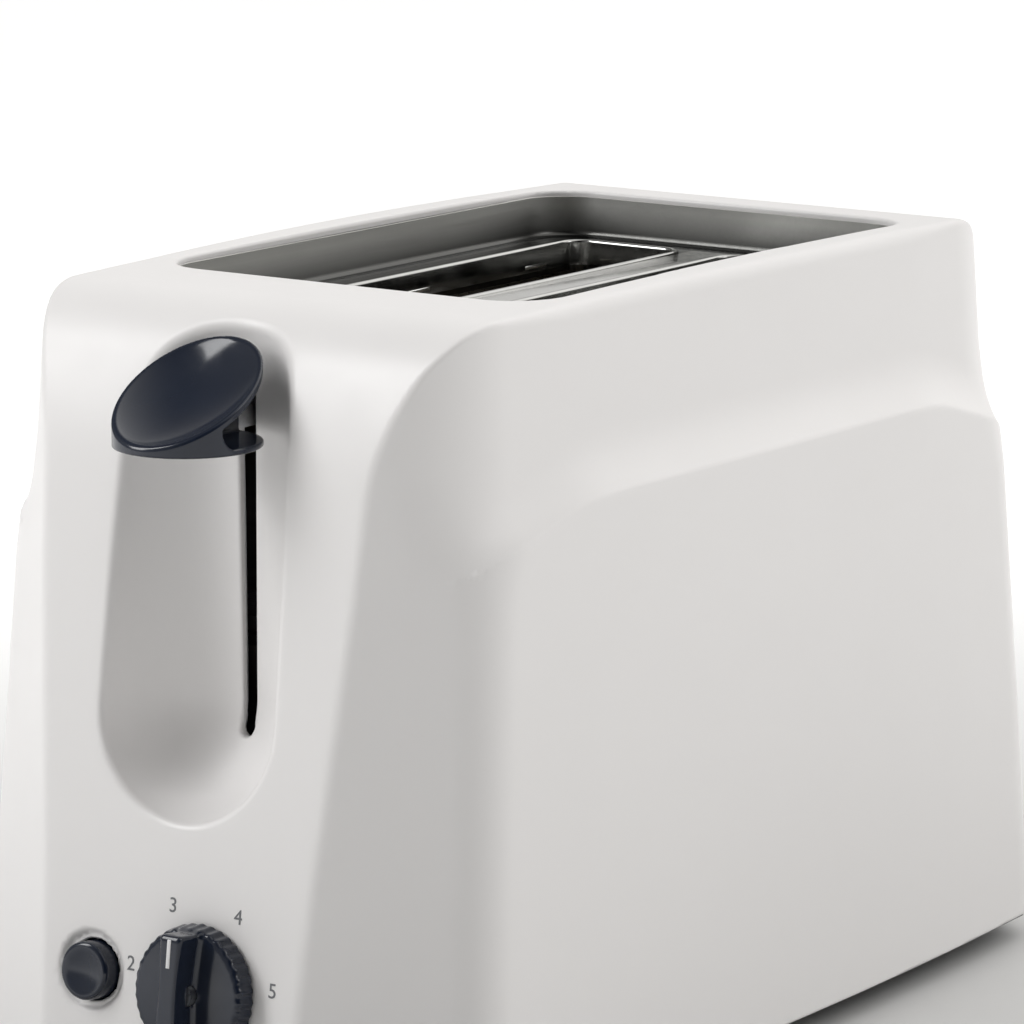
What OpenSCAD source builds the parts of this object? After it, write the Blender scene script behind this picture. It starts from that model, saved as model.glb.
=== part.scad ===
// Two-slice pop up toaster: cool-touch moulded body, pressed metal slot deck,
// wire bread guards, lever carriage on a guide rod, controls on the lever end.
// +Z is up, the lever end faces -Y, and the feet stand on z = 0.

/* [Body moulding] */
// Half length of the moulding at its lower edge
base_half_length = 140.3; // [138:0.1:142]
// Half width of the moulding at its lower edge, at mid length
base_half_width = 74.3; // [73:0.1:76]
// Height of the crown of the top above the ground
top_z = 179; // [178.5:0.1:179.5]
// Height of the moulding's lower edge above the ground
skirt_z = 6; // [5.5:0.1:6.5]
// Thickness of the moulding
wall = 2.4; // [2:0.1:2.6]
// Lean of both end faces from the vertical, in degrees
end_lean = 7.3; // [7:0.1:7.6]
// Lean of the lower side panels from the vertical, in degrees
side_lean = 2.5; // [2:0.1:2.6]
// Radius of the outward bow of the long sides, seen from above
bow_r = 1800; // [1700:50:2500]

/* [Top opening and slots] */
// Half width of the opening in the top
opening_half_x = 51.4; // [51:0.1:51.6]
// Half length of the opening in the top
opening_half_y = 78.1; // [77.5:0.1:78.5]
// Corner radius of the opening
opening_r = 15; // [12:1:18]
// Distance of the opening's centre behind the moulding's centre
opening_y = 5.7; // [5:0.1:6.5]
// Distance between the centres of the two bread slots
slot_pitch = 45; // [44.5:0.1:45.5]
// Width of each bread slot
slot_w = 31; // [30:0.1:31.4]
// Length of each bread slot
slot_len = 135.2; // [133:0.1:136]
// Height of the slot deck's upper face
deck_z = 167; // [166.5:0.1:167.2]

/* [Finger recess and lever] */
// Radius of the upright scoop in the lever end
scoop_r = 23.1; // [22.5:0.1:23.5]
// Distance of the scoop's axis in front of the moulding's centre
scoop_y = 129.3; // [129:0.1:129.6]
// Height of the centre of the scoop's ball end
scoop_ball_z = 91.8; // [91:0.1:93]
// Height of the lower end of the lever slot
lever_slot_z = 83.1; // [82.5:0.1:84]
// Width of the lever slot
lever_slot_w = 4.2; // [4:0.1:4.6]
// Radius of the lever knob
knob_r = 16.1; // [15.5:0.1:16.5]
// Height of the knob's flat underside
knob_z = 150.1; // [150:0.1:150.6]
// Downward travel of the lever
lever_travel = 62; // [60:0.5:62]

/* [Controls] */
// Height of the dial and button on the lever end
control_z = 34; // [33:0.5:35]
// Radius of the browning dial
dial_r = 15; // [14:0.5:15.5]
// How far the dial stands out from the end face
dial_out = 12; // [10:0.5:13]
// Sideways place of the dial
dial_x = 9; // [8:0.5:10]
// Sideways place of the stop button
button_x = -21; // [-22:0.5:-20]
// Radius of the stop button
button_r = 6.4; // [6:0.1:6.5]

/* [Chassis] */
// Thickness of the pressed chassis plates
plate_t = 1; // [0.8:0.1:1.2]
// Distance of a bread guard from the middle of its slot
guard_offset = 14.9; // [14.5:0.1:15]
// Radius of the guard wires
wire_r = 0.8; // [0.6:0.1:0.9]
// Height of the bread lifters with the lever up
lifter_z = 106; // [105:0.5:107]

/* [Hidden] */
$fn = 64;

// Depth by which a cutting solid passes through the faces it cuts.
through = 1;
// Working clearance between parts that do not touch, and play of parts that turn or slide.
gap = 0.3;
play = 0.06;
snug = 0.02;

// End profile: straight leaning face, then a slow turn, then the tight turn on to the crown.
end_turn_z = 142.3;
end_r1 = 63;
end_a1 = 30;
end_r2 = 24;
end_a2 = 88.5;
end_skip = 6;
crown_skip = 0.5;

// Side profile: panel, convex shoulder edge, concave step, upper wall, top edge.
shoulder_z = 137;
shoulder_r = 6;
step_a = 52;
step_r = 10;
step_skip = 10;
upper_lean = 3;
top_edge_r = 9;

// Half width and half sweep of the slabs whose overlap makes the two long sides.
slab_half = 90;
slab_sweep = 6;

// Corner facets between the end faces and the side panels.
corner_a = 55.2;
corner_d = 134.4;
corner_lean = 3.9;

// How far the tray handle and the dial's grip reach, which sets where the moulding's centre lies.
tray_reach = 144.4;
grip_half = dial_r - 1.5;
front_reach = end_y(control_z) + grip_half * sin(end_lean) + dial_out * cos(end_lean);
body_y = (front_reach - tray_reach) / 2;

// Screw bosses moulded inside the shell, each tied to the side panel by a rib.
boss_x = 46;
boss_y = 103;
boss_r = 4;
boss_z = 8.4;
boss_h = 36;
boss_rib_x = 69.5;
boss_rib_z = 28;
boss_rib_t = 2;
pilot_r = 1.6;
pilot_depth = 30;

// Base screws: shank, head, and the height of the head's underside.
screw_r = 1.55;
screw_len = 24;
screw_head_r = 3.2;
screw_head_h = 1.7;
screw_z = 4.3;

// Base plate, its vents, and the ribs that guide the crumb tray.
base_z = 4.8;
base_top_z = 8;
base_inset = wall + 0.4;
tray_rib_x = 40;
tray_rib_t = 2;
tray_rib_z = 15;
vent_x = 58;
vent_half = 6;
vent_w = 3;
vent_pitch = 8;

// Rubber feet: pad, neck through the base plate, and the barb above it.
foot_x = 52;
foot_y = 88;
foot_r = 8;
foot_h = 4.8;
foot_neck_r = 2.9;
foot_neck_h = 8;
foot_barb_r = 4;
foot_barb_h = 1.2;

// Posts that carry the chassis floor.
post_x = 45;
post_r = 3.4;
post_h = 10;
post_front_y = -56;
post_rear_y = 68;

// Bush for the cord, square to the rear face.
gland_x = -24;
gland_z = 27;
gland_r = 6;
gland_len = 16;
gland_flange_r = 8.4;
gland_flange_t = 2.2;
gland_bore_r = 3.5;

// Opening deck, its collars, the bead round each mouth, and the bright bridge between the beads.
mouth_r = 5;
pan_t = 0.8;
pan_depth = 8;
pan_flange = 1;
pan_ease = 0.2;
collar_depth = 6.5;
lip_w = 1.8;
lip_h = 1.3;
lip_in = 0.6;
lip_skirt = 5;
lip_skirt_out = 0.2;
bridge_half_x = 5;
bridge_half_y = 72;
bridge_h = 0.6;

// Knob: height of its front edge over the underside, its slope and dish, and the mouth behind.
knob_front_h = 1.8;
knob_rise = 31.6;
dish_r = 45;
dish_depth = 2.6;
knob_plate_t = 1.9;
knob_foot_t = 1.3;
mouth_y = -2.4;
mouth_z = 5;
mouth_cut_r = 4;
knob_boss_half = 2.4;
knob_boss_reach = knob_r - 1.5;
knob_y = 1.8 - scoop_y;

// Stem: half thickness, upright limb inside, arm through the slot, and tongue inside the knob.
stem_half = 1;
stem_rear_y = -91.6;
limb_front_y = -100;
limb_z = 99;
limb_top_z = 162;
arm_front_y = -117;
arm_z = 151.5;
arm_top_z = 161;
tongue_front_y = -128;
tongue_top_z = 156.5;
slot_head = 16;
slot_front_y = -112;
slot_rear_y = -100;

// Chassis plates and floor.
slot_x = slot_pitch / 2;
plate_front_y = -66;
plate_rear_y = 78;
plate_half_x = 49.5;
plate_top_z = 166;
floor_z = 17;
floor_front_y = -95;
floor_tab_half = 30;
crumb_hole_half = 13;
crumb_hole_front_y = -50;
crumb_hole_rear_y = 62;
rod_bridge_half = 9;
rod_bridge_front_y = -92;
rod_bridge_z = 163.6;
lifter_slot_half = 2.2;
card_slot_half = 0.6;
card_slot_h = 10;

// Heat shields and their louvres.
shield_x = 48.2;
shield_t = 0.6;
shield_top_z = 160;
louvre_w = 8;
louvre_h = 3;
louvre_pitch = 20;
louvre_low_z = 24;
louvre_high_z = 150;

// Element cards with their end tongues, and the ribbon wound on them.
card_x = 44;
card_t = 0.8;
card_z = 38;
card_h = 116;
card_front_y = -60;
card_len = 132;
tongue_low_z = 62;
tongue_high_z = 122;
tongue_h = 6;
ribbon_t = 0.3;
ribbon_w = 2.2;
ribbon_pitch = 9;
ribbon_edge = 8;
ribbon_inset = 4;
ribbon_strip_w = 2;

// Bread guards.
pivot_z = 32;
pivot_r = 1.2;
guard_top_z = 157;
guard_mid_z = 95;
guard_front_y = -59;
guard_rear_y = 71;
wire_front_y = -57;
wire_pitch = 14;
wire_facets = 24;

// Guide rod, the clip at its head, the lift spring and the sliding bush.
rod_y = -86;
rod_r = 2.5;
rod_top_z = 166;
groove_z = 164.8;
groove_r = 2;
groove_h = 0.7;
clip_r = 4;
clip_t = 0.6;
clip_mouth_half = 1.4;
spring_r = 4.1;
spring_wire_r = 0.45;
spring_turns = 12;
spring_steps = 12;
spring_facets = 6;
spring_foot_z = floor_z + plate_t + 0.5;
bush_r = 4.5;
bush_bottom_z = 98;
bush_len = 20;
bush_flange_z = 7.9;

// Carriage bracket, lifters and the keeper that the magnet holds.
bracket_half_x = 26;
bracket_front_y = -92;
bracket_rear_y = -70;
bracket_z = 104.2;
bracket_t = 1.6;
arm_half = 1.2;
arm_rear_y = -40;
hanger_z = 101.4;
lifter_half = 7;
lifter_front_y = -60;
lifter_rear_y = 72;
lifter_t = 0.8;
lifter_tail_half = 1.4;
lifter_tail_y = 84;
tooth_x = 6.4;
tooth_w = 4;
tooth_h = 2.2;
tooth_pitch = 12;
magnet_x0 = -23;
magnet_x1 = -9;
magnet_front_y = -90;
magnet_rear_y = -80;
magnet_leg = 3;
magnet_yoke_z = 22;
keeper_z = 99;
keeper_t = 2.3;
magnet_top_z = keeper_z - lever_travel - 0.4;
coil_x0 = -19.6;
coil_x1 = -12.4;
coil_over = 1.4;

// Contacts.
contact_x = [16, 23];
contact_half = 0.3;
contact_top_z = 41.4;
contact_z = 26.2;
contact_slot_half = 0.5;
contact_block_x0 = 12;
contact_block_x1 = 27;
contact_block_z = 32;

// Control board and what it carries, measured in the frame of the lever end.
board_depth = 12;
board_t = 1.6;
board_half_x = 34;
board_low_y = -17;
board_high_y = 23;
board_post_x = 30;
board_post_y = 19;
board_post_r = 3;
board_back = -board_depth - board_t;
shaft_r = 2.97;
shaft_len = 18;
pot_r = 8;
pot_h = 6.4;
dial_lift = 0.5;
dial_skirt_h = 5;
dial_grip_half = 3;
dial_bore_h = 8.4;
dial_hole_r = 4.5;
switch_half = 3.5;
switch_h = 2;
button_len = 10;
button_back = 7;
button_flange_z = -5.2;
button_flange_t = 1.4;
button_flange_w = 1.6;
hole_depth = 8;

// Terminal block and the leads.
terminal_x0 = -66;
terminal_x1 = -50;
terminal_y0 = -80;
terminal_y1 = -56;
terminal_z0 = 8.2;
terminal_z1 = 20;
terminal_bore_x = [-62, -54];
terminal_bore_z = 14;
terminal_bore_r = 1.4;
terminal_bore_in = 8;
lead_r = 1;
lead_x = -54;
lead_step = 8;

// Crumb tray and its handle.
tray_half_x = 38;
tray_z = 8.6;
tray_top_z = 15.4;
tray_t = 0.8;
tray_front_y = -52;
tray_rear_y = 131;
tray_cut_z = 17.4;
handle_top_z = 16.8;
pull_half = 20;
pull_z0 = 10;
pull_z1 = 13.4;
pull_groove_half = 16;
pull_groove_w = 1.4;
pull_groove_z = 12.6;

function dir(a) = [cos(a), sin(a)];
function arc(c, r, a0, a1, n) = [for (i = [0:n]) c + r * dir(a0 + (a1 - a0) * i / n)];
function end_y(z) = base_half_length - (z - skirt_z) * tan(end_lean);
function flip_x(pts) = [for (i = [len(pts) - 1:-1:0]) [-pts[i][0], pts[i][1]]];

// Half outline of the end profile as [distance from centre, height], inset by i, from z = low up.
function end_outline(i, low) = let(
        p1 = [end_y(end_turn_z), end_turn_z],
        c1 = p1 - end_r1 * dir(end_lean),
        c2 = c1 + (end_r1 - end_r2) * dir(end_a1),
        r3 = end_r2 + c2[0] / cos(end_a2),
        c3 = [0, c2[1] - (r3 - end_r2) * sin(end_a2)]
    ) concat(
        [[end_y(low) - i / cos(end_lean), low]],
        arc(c1, end_r1 - i, end_lean, end_a1, 4),
        arc(c2, end_r2 - i, end_a1 + end_skip, end_a2, 8),
        arc(c3, r3 - i, end_a2 + crown_skip, 90, 2)
    );

// Half outline of the side profile at mid length, inset by i.
function side_outline(i, low) = let(
        x1 = base_half_width - (shoulder_z - skirt_z) * tan(side_lean),
        c1 = [x1, shoulder_z] - shoulder_r * dir(side_lean),
        c2 = c1 + (shoulder_r + step_r) * dir(step_a),
        wall_foot = c2 - step_r * dir(upper_lean),
        edge_z = top_z - top_edge_r * (1 - sin(upper_lean)),
        edge_x = wall_foot[0] - (edge_z - wall_foot[1]) * tan(upper_lean),
        c3 = [edge_x, edge_z] - top_edge_r * dir(upper_lean)
    ) concat(
        [[base_half_width - (low - skirt_z) * tan(side_lean) - i / cos(side_lean), low]],
        arc(c1, shoulder_r - i, side_lean, step_a, 4),
        arc(c2, step_r + i, 180 + step_a - step_skip, 180 + upper_lean, 4),
        arc(c3, top_edge_r - i, upper_lean, 90, 6)
    );

// Rounded rectangle of half sizes hx and hy as a list of points.
function rounded(hx, hy, r) = [for (q = [0:3]) for (i = [0:6])
    let(a = 90 * q + 15 * i, sx = (q == 0 || q == 3) ? 1 : -1, sy = q < 2 ? 1 : -1)
    [sx * (hx - r), sy * (hy - r)] + r * dir(a)];

module in_body() translate([0, body_y, 0]) children();

// Local frame on the leaning lever end: x across, y up the face, z straight out of it.
module on_end_face(x) in_body()
    translate([x, -end_y(control_z), control_z])
        rotate([90 - end_lean, 0, 0])
            children();

// Local frame on the leaning rear end, with z straight out of it.
module on_rear_face(x, z) in_body()
    translate([x, end_y(z), z])
        rotate([end_lean - 90, 0, 0])
            children();

module ring(r_out, r_in, h) difference() {
    cylinder(r = r_out, h = h);
    translate([0, 0, -through]) cylinder(r = r_in, h = h + 2 * through);
}

module block(x0, x1, y0, y1, z0, z1) translate([x0, y0, z0]) cube([x1 - x0, y1 - y0, z1 - z0]);

module bowed_side(i, low) {
    half = side_outline(i, low);
    outline = concat([[-slab_half, low]], half, [[-slab_half, top_z - i]]);
    translate([-bow_r, 0, 0])
        rotate([0, 0, -slab_sweep])
            rotate_extrude(angle = 2 * slab_sweep, $fn = 720)
                translate([bow_r, 0]) polygon(outline);
}

module end_bar(i, low) {
    half = end_outline(i, low);
    rotate([90, 0, 90])
        linear_extrude(height = 2 * (slab_half + 10), center = true)
            polygon(concat(half, flip_x(half)));
}

module corner_cuts(i) for (sx = [-1, 1], sy = [-1, 1])
    rotate([0, 0, sx > 0 ? sy * corner_a : 180 - sy * corner_a])
        translate([corner_d - i / cos(corner_lean), 0, 0])
            rotate([0, -corner_lean, 0])
                block(0, 60, -slab_half, slab_half, -30, 230);

// The moulding as a solid, every face moved in by i, cut off at z = low.
module envelope(i, low) difference() {
    intersection() {
        end_bar(i, low);
        bowed_side(i, low);
        mirror([1, 0, 0]) bowed_side(i, low);
    }
    corner_cuts(i);
}

// The upright finger scoop with its ball end, grown by i.
module scoop(i) translate([0, -scoop_y, scoop_ball_z]) {
    cylinder(r = scoop_r + i, h = top_z);
    sphere(r = scoop_r + i);
}

module lever_slot_cut() {
    half = lever_slot_w / 2;
    block(-half, half, slot_front_y, slot_rear_y, lever_slot_z + half, knob_z + slot_head);
    translate([0, slot_rear_y, lever_slot_z + half])
        rotate([90, 0, 0])
            cylinder(r = half, h = slot_rear_y - slot_front_y);
}

module at_bosses(z) for (sx = [-1, 1], sy = [-1, 1]) translate([sx * boss_x, sy * boss_y, z]) children();

module at_feet(z) for (sx = [-1, 1], sy = [-1, 1]) translate([sx * foot_x, sy * foot_y, z]) children();

module boss_rib(sx, sy) {
    x0 = min(sx * boss_x, sx * boss_rib_x);
    y0 = sy * boss_y - boss_rib_t / 2;
    block(x0, x0 + boss_rib_x - boss_x, y0, y0 + boss_rib_t, boss_rib_z, boss_z + boss_h - gap);
}

module board_posts(z) for (sx = [-1, 1]) on_end_face(sx * board_post_x)
    translate([0, board_post_y, z]) children();

module outer_shell() color("whitesmoke") {
    difference() {
        union() {
            in_body() difference() {
                envelope(0, skirt_z);
                difference() {
                    envelope(wall, skirt_z - 5);
                    scoop(wall);
                }
            }
            in_body() at_bosses(boss_z) cylinder(r = boss_r, h = boss_h);
            in_body() for (sx = [-1, 1], sy = [-1, 1]) boss_rib(sx, sy);
            board_posts(-board_depth) cylinder(r = board_post_r, h = board_depth - 1);
        }
        in_body() {
            scoop(0);
            lever_slot_cut();
            translate([0, opening_y, deck_z])
                linear_extrude(height = 30) polygon(rounded(opening_half_x, opening_half_y, opening_r));
            block(-tray_half_x - 2 * gap, tray_half_x + 2 * gap, 100, 160, 0, tray_cut_z);
            at_bosses(0) cylinder(r = pilot_r, h = pilot_depth);
        }
        on_rear_face(gland_x, gland_z)
            translate([0, 0, -hole_depth])
                cylinder(r = gland_r + 0.1, h = 2 * hole_depth);
        on_end_face(dial_x)
            translate([0, 0, -hole_depth])
                cylinder(r = dial_hole_r, h = 2 * hole_depth);
        on_end_face(button_x)
            translate([0, 0, -hole_depth])
                cylinder(r = button_r + 0.4, h = 2 * hole_depth);
        board_posts(-board_depth - through) cylinder(r = 1.1, h = hole_depth);
    }
}

module base_plate() color("dimgray") in_body() difference() {
    union() {
        intersection() {
            envelope(base_inset, base_z);
            block(-slab_half, slab_half, -base_half_length, base_half_length, base_z, base_top_z);
        }
        for (sx = [-1, 1], y = [post_front_y, post_rear_y])
            translate([sx * post_x, y, base_top_z - through])
                cylinder(r = post_r, h = post_h);
        for (x = [-tray_rib_x, tray_rib_x])
            block(x - tray_rib_t / 2, x + tray_rib_t / 2, crumb_hole_front_y, crumb_hole_rear_y,
                base_top_z - through, tray_rib_z);
    }
    at_bosses(0) cylinder(r = screw_r + 0.15, h = 20);
    at_bosses(4) cylinder(r = screw_head_r + 0.2, h = 2);
    at_feet(0) cylinder(r = foot_neck_r + 0.1, h = 20);
    for (x = [-vent_x, vent_x], y = [-40:vent_pitch:48])
        block(x - vent_half, x + vent_half, y, y + vent_w, 0, 20);
}

module rubber_feet() color("black") in_body() {
    at_feet(0) cylinder(r = foot_r, h = foot_h);
    at_feet(0) cylinder(r = foot_neck_r, h = foot_neck_h);
    at_feet(foot_neck_h) cylinder(r = foot_barb_r, h = foot_barb_h);
}

module base_screws() color("silver") in_body() {
    at_bosses(screw_z) cylinder(r = screw_head_r, h = screw_head_h);
    at_bosses(screw_z) cylinder(r = screw_r, h = screw_len);
}

module cord_gland() color("dimgray") on_rear_face(gland_x, gland_z) difference() {
    union() {
        translate([0, 0, gland_flange_t - gland_len]) cylinder(r = gland_r, h = gland_len);
        cylinder(r = gland_flange_r, h = gland_flange_t);
    }
    translate([0, 0, -gland_len]) cylinder(r = gland_bore_r, h = 2 * gland_len);
}

// Rounded slab the size of a slot grown by grow, at both slots.
module slot_slab(grow, z0, z1) translate([0, 0, z0]) linear_extrude(height = z1 - z0)
    polygon(rounded(slot_w / 2 + grow, slot_len / 2 + grow, mouth_r + grow));

module slot_mouths(grow, z0, z1) for (sx = [-1, 1]) translate([sx * slot_x, 0, 0]) slot_slab(grow, z0, z1);

module opening_slab(grow, z, h) translate([0, 0, z]) linear_extrude(height = h)
    polygon(rounded(opening_half_x + grow, opening_half_y + grow, opening_r + grow));

// Shallow pan with two mouths, each with a collar turned down, and a raised bridge between them.
module slot_deck() color("silver") in_body() translate([0, opening_y, 0]) union() {
    difference() {
        union() {
            opening_slab(pan_flange, deck_z - pan_t, pan_depth + pan_t);
            slot_mouths(pan_t + gap, deck_z - collar_depth, deck_z);
        }
        opening_slab(pan_ease, deck_z, 2 * pan_depth);
        slot_mouths(gap, deck_z - 2 * collar_depth, deck_z + through);
    }
    block(-bridge_half_x, bridge_half_x, -bridge_half_y, bridge_half_y, deck_z - pan_t, deck_z + bridge_h);
}

// Bright bead round a slot's mouth, with a thin skirt turned down into the slot.
module slot_lip(sx) color("gainsboro") in_body() translate([sx * slot_x, opening_y, 0]) difference() {
    union() {
        slot_slab(lip_w, deck_z, deck_z + lip_h);
        slot_slab(lip_skirt_out, deck_z - lip_skirt, deck_z + through);
    }
    slot_slab(-lip_in, deck_z - 2 * lip_skirt, deck_z + 2 * lip_skirt);
}

// Slots in a chassis plate for a lifter's tail, two pivots and the tongues of the three cards.
module plate_cutouts(y0) {
    y1 = y0 - 2 * through;
    y2 = y0 + plate_t + 3 * through;
    for (sx = [-1, 1]) {
        x = sx * slot_x;
        block(x - lifter_slot_half, x + lifter_slot_half, y1, y2,
            lifter_z - lever_travel - 6, lifter_z + 4);
        for (side = [-1, 1])
            translate([x + side * guard_offset, y1, pivot_z])
                rotate([-90, 0, 0])
                    cylinder(r = pivot_r + play, h = y2 - y1);
    }
    for (x = [-card_x, 0, card_x], z = [tongue_low_z, tongue_high_z])
        block(x - card_slot_half, x + card_slot_half, y1, y2, z - 2, z - 2 + card_slot_h);
}

module front_chassis_plate() color("silver") in_body() difference() {
    y0 = plate_front_y - plate_t;
    union() {
        block(-plate_half_x, plate_half_x, y0, plate_front_y, floor_z + plate_t, plate_top_z);
        block(-rod_bridge_half, rod_bridge_half, rod_bridge_front_y, y0 + 0.2,
            rod_bridge_z, rod_bridge_z + plate_t);
    }
    plate_cutouts(y0);
    translate([0, rod_y, rod_bridge_z - 10]) cylinder(r = rod_r + snug, h = 20);
}

module rear_chassis_plate() color("silver") in_body() difference() {
    block(-plate_half_x, plate_half_x, plate_rear_y, plate_rear_y + plate_t,
        floor_z + plate_t, plate_top_z);
    plate_cutouts(plate_rear_y);
}

module chassis_floor() color("silver") in_body() difference() {
    z1 = floor_z + plate_t;
    union() {
        block(-plate_half_x, plate_half_x, plate_front_y - plate_t, plate_rear_y + 2, floor_z, z1);
        block(-floor_tab_half, floor_tab_half, floor_front_y, card_front_y, floor_z, z1);
    }
    for (x = [-slot_x, slot_x])
        block(x - crumb_hole_half, x + crumb_hole_half, crumb_hole_front_y, crumb_hole_rear_y,
            floor_z - through, z1 + through);
    translate([0, rod_y, 0]) cylinder(r = rod_r + snug, h = 2 * floor_z);
}

module heat_shield(sx) color("lightgray") in_body() difference() {
    x = sx * shield_x;
    block(x - shield_t / 2, x + shield_t / 2, plate_front_y + gap, plate_rear_y - gap,
        floor_z + plate_t + gap, shield_top_z);
    for (y = [-50:louvre_pitch:60], z = [louvre_low_z, louvre_high_z])
        block(x - 2, x + 2, y, y + louvre_w, z, z + louvre_h);
}

module element_card(x) color("wheat") in_body() {
    x0 = x - card_t / 2;
    x1 = x + card_t / 2;
    rear_y = card_front_y + card_len;
    block(x0, x1, card_front_y, rear_y, card_z, card_z + card_h);
    for (z = [tongue_low_z, tongue_high_z]) {
        block(x0, x1, plate_front_y - plate_t - 1, card_front_y + 1, z, z + tongue_h);
        block(x0, x1, rear_y - 1, plate_rear_y + plate_t + 1, z, z + tongue_h);
    }
}

// Flat heating ribbon wound round a card: rows on the faces named by sides.
module element_ribbon(x, sides) color("dimgray") in_body() for (side = sides) {
    face = x + side * (card_t + ribbon_t) / 2;
    x0 = face - ribbon_t / 2;
    x1 = face + ribbon_t / 2;
    y0 = card_front_y + ribbon_inset;
    z0 = card_z + ribbon_edge;
    for (z = [z0:ribbon_pitch:card_z + card_h - ribbon_edge])
        block(x0, x1, y0, card_front_y + card_len - ribbon_inset, z, z + ribbon_w);
    block(x0, x1, y0 - ribbon_strip_w, y0, z0, card_z + card_h - ribbon_edge - 1);
}

module wire_y(x, z, r, y0, y1) translate([x, y0, z])
    rotate([-90, 0, 0])
        cylinder(r = r, h = y1 - y0, $fn = wire_facets);

// Wire grille that stands beside the bread and leans on a pivot wire at its foot.
module bread_guard(x) color("silver") in_body() {
    wire_y(x, pivot_z, pivot_r, plate_front_y - plate_t - 2, plate_rear_y + plate_t + 2);
    wire_y(x, guard_top_z, wire_r + 0.1, guard_front_y, guard_rear_y);
    wire_y(x, guard_mid_z, wire_r - 0.1, guard_front_y, guard_rear_y);
    for (y = [wire_front_y:wire_pitch:guard_rear_y - 2])
        translate([x, y, pivot_z])
            cylinder(r = wire_r, h = guard_top_z - pivot_z, $fn = wire_facets);
}

module guide_rod() color("silver") in_body() translate([0, rod_y, floor_z]) difference() {
    cylinder(r = rod_r, h = rod_top_z - floor_z);
    translate([0, 0, groove_z - floor_z]) ring(2 * rod_r, groove_r, groove_h);
}

module rod_clip() color("dimgray") in_body() translate([0, rod_y, groove_z + 0.05]) difference() {
    ring(clip_r, groove_r + 0.05, clip_t);
    block(-clip_mouth_half, clip_mouth_half, -clip_r - through, 0, -through, clip_t + through);
}

// Round wire of radius w wound on radius r, as rings of points joined into one solid.
module coil_wire(r, w, turns, pitch, steps, sides) {
    n = turns * steps;
    ring_points = [for (i = [0:n]) for (k = [0:sides - 1])
        let(a = 360 * i / steps, b = 360 * k / sides)
        [(r + w * cos(b)) * cos(a), (r + w * cos(b)) * sin(a), pitch * i / steps + w * sin(b)]];
    skin = [for (i = [0:n - 1]) for (k = [0:sides - 1])
        let(k2 = (k + 1) % sides)
        [i * sides + k, (i + 1) * sides + k, (i + 1) * sides + k2, i * sides + k2]];
    first = [for (k = [0:sides - 1]) k];
    last = [for (k = [sides - 1:-1:0]) n * sides + k];
    polyhedron(ring_points, concat([first], skin, [last]), convexity = 10);
}

module lift_spring() color("gray") in_body() translate([0, rod_y, spring_foot_z + spring_wire_r])
    coil_wire(spring_r, spring_wire_r, spring_turns,
        (bush_bottom_z - spring_foot_z - 2 * spring_wire_r - 0.4) / spring_turns,
        spring_steps, spring_facets);

// Plate that carries both lifters and slides on the guide rod.
module carriage_bracket() color("silver") in_body() difference() {
    z1 = bracket_z + bracket_t;
    union() {
        block(-bracket_half_x, bracket_half_x, bracket_front_y, bracket_rear_y, bracket_z, z1);
        for (x = [-slot_x, slot_x])
            block(x - arm_half, x + arm_half, bracket_rear_y - 1, arm_rear_y, bracket_z, z1);
        block(magnet_x0 + 2, magnet_x1 - 2, -88, -82, hanger_z, bracket_z + 0.2);
    }
    translate([0, rod_y, bracket_z - 10]) cylinder(r = bush_r + snug, h = 30);
    block(-stem_half - gap, stem_half + gap, bracket_front_y - through, bracket_front_y + 0.6,
        bracket_z - 4, z1 + 4);
}

module carriage_bush() color("ivory") in_body() translate([0, rod_y, bush_bottom_z]) union() {
    ring(bush_r, rod_r + play, bush_len);
    translate([0, 0, bush_flange_z]) ring(bush_r + 1, rod_r + play, gap);
}

// Flat steel stem: an upright limb inside, and an arm out through the lever slot.
module lever_stem() color("lightgray") in_body() {
    block(-stem_half, stem_half, limb_front_y, stem_rear_y, limb_z, limb_top_z);
    block(-stem_half, stem_half, arm_front_y, limb_front_y + 1, arm_z, arm_top_z);
    block(-stem_half, stem_half, tongue_front_y, arm_front_y + 1, arm_z, tongue_top_z);
}

// Frame on the knob's slanting face, with its origin at the front edge and z out of the face.
module on_knob_face() translate([0, -knob_r, knob_front_h]) rotate([knob_rise, 0, 0]) children();

// Round push knob: slanting dished face over a thin foot, joined at the front and by a boss.
module lever_knob() color("midnightblue") in_body() translate([0, knob_y, knob_z]) difference() {
    cylinder(r = knob_r, h = 2 * knob_r, $fn = 96);
    on_knob_face() {
        block(-2 * knob_r, 2 * knob_r, -knob_r, 4 * knob_r, 0, 3 * knob_r);
        translate([0, knob_r / cos(knob_rise), dish_r - dish_depth]) sphere(r = dish_r, $fn = 96);
    }
    difference() {
        intersection() {
            union() {
                translate([-2 * knob_r, mouth_y, mouth_z])
                    rotate([0, 90, 0])
                        cylinder(r = mouth_cut_r, h = 4 * knob_r);
                block(-2 * knob_r, 2 * knob_r, mouth_y, 2 * knob_r, 0, 2 * knob_r);
            }
            block(-2 * knob_r, 2 * knob_r, -knob_r, 2 * knob_r, knob_foot_t, 2 * knob_r);
            on_knob_face()
                block(-2 * knob_r, 2 * knob_r, -knob_r, 4 * knob_r,
                    -3 * knob_r, -dish_depth - knob_plate_t);
        }
        block(-knob_boss_half, knob_boss_half, -knob_r, knob_boss_reach, 0, 2 * knob_r);
    }
    block(-stem_half - play, stem_half + play, tongue_front_y - knob_y - gap, 2 * knob_r,
        arm_z - knob_z - 0.1, tongue_top_z - knob_z + 0.1);
    block(-stem_half - play, stem_half + play, arm_front_y - knob_y - gap, 2 * knob_r,
        arm_z - knob_z - 0.1, arm_top_z - knob_z + 0.1);
}

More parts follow.
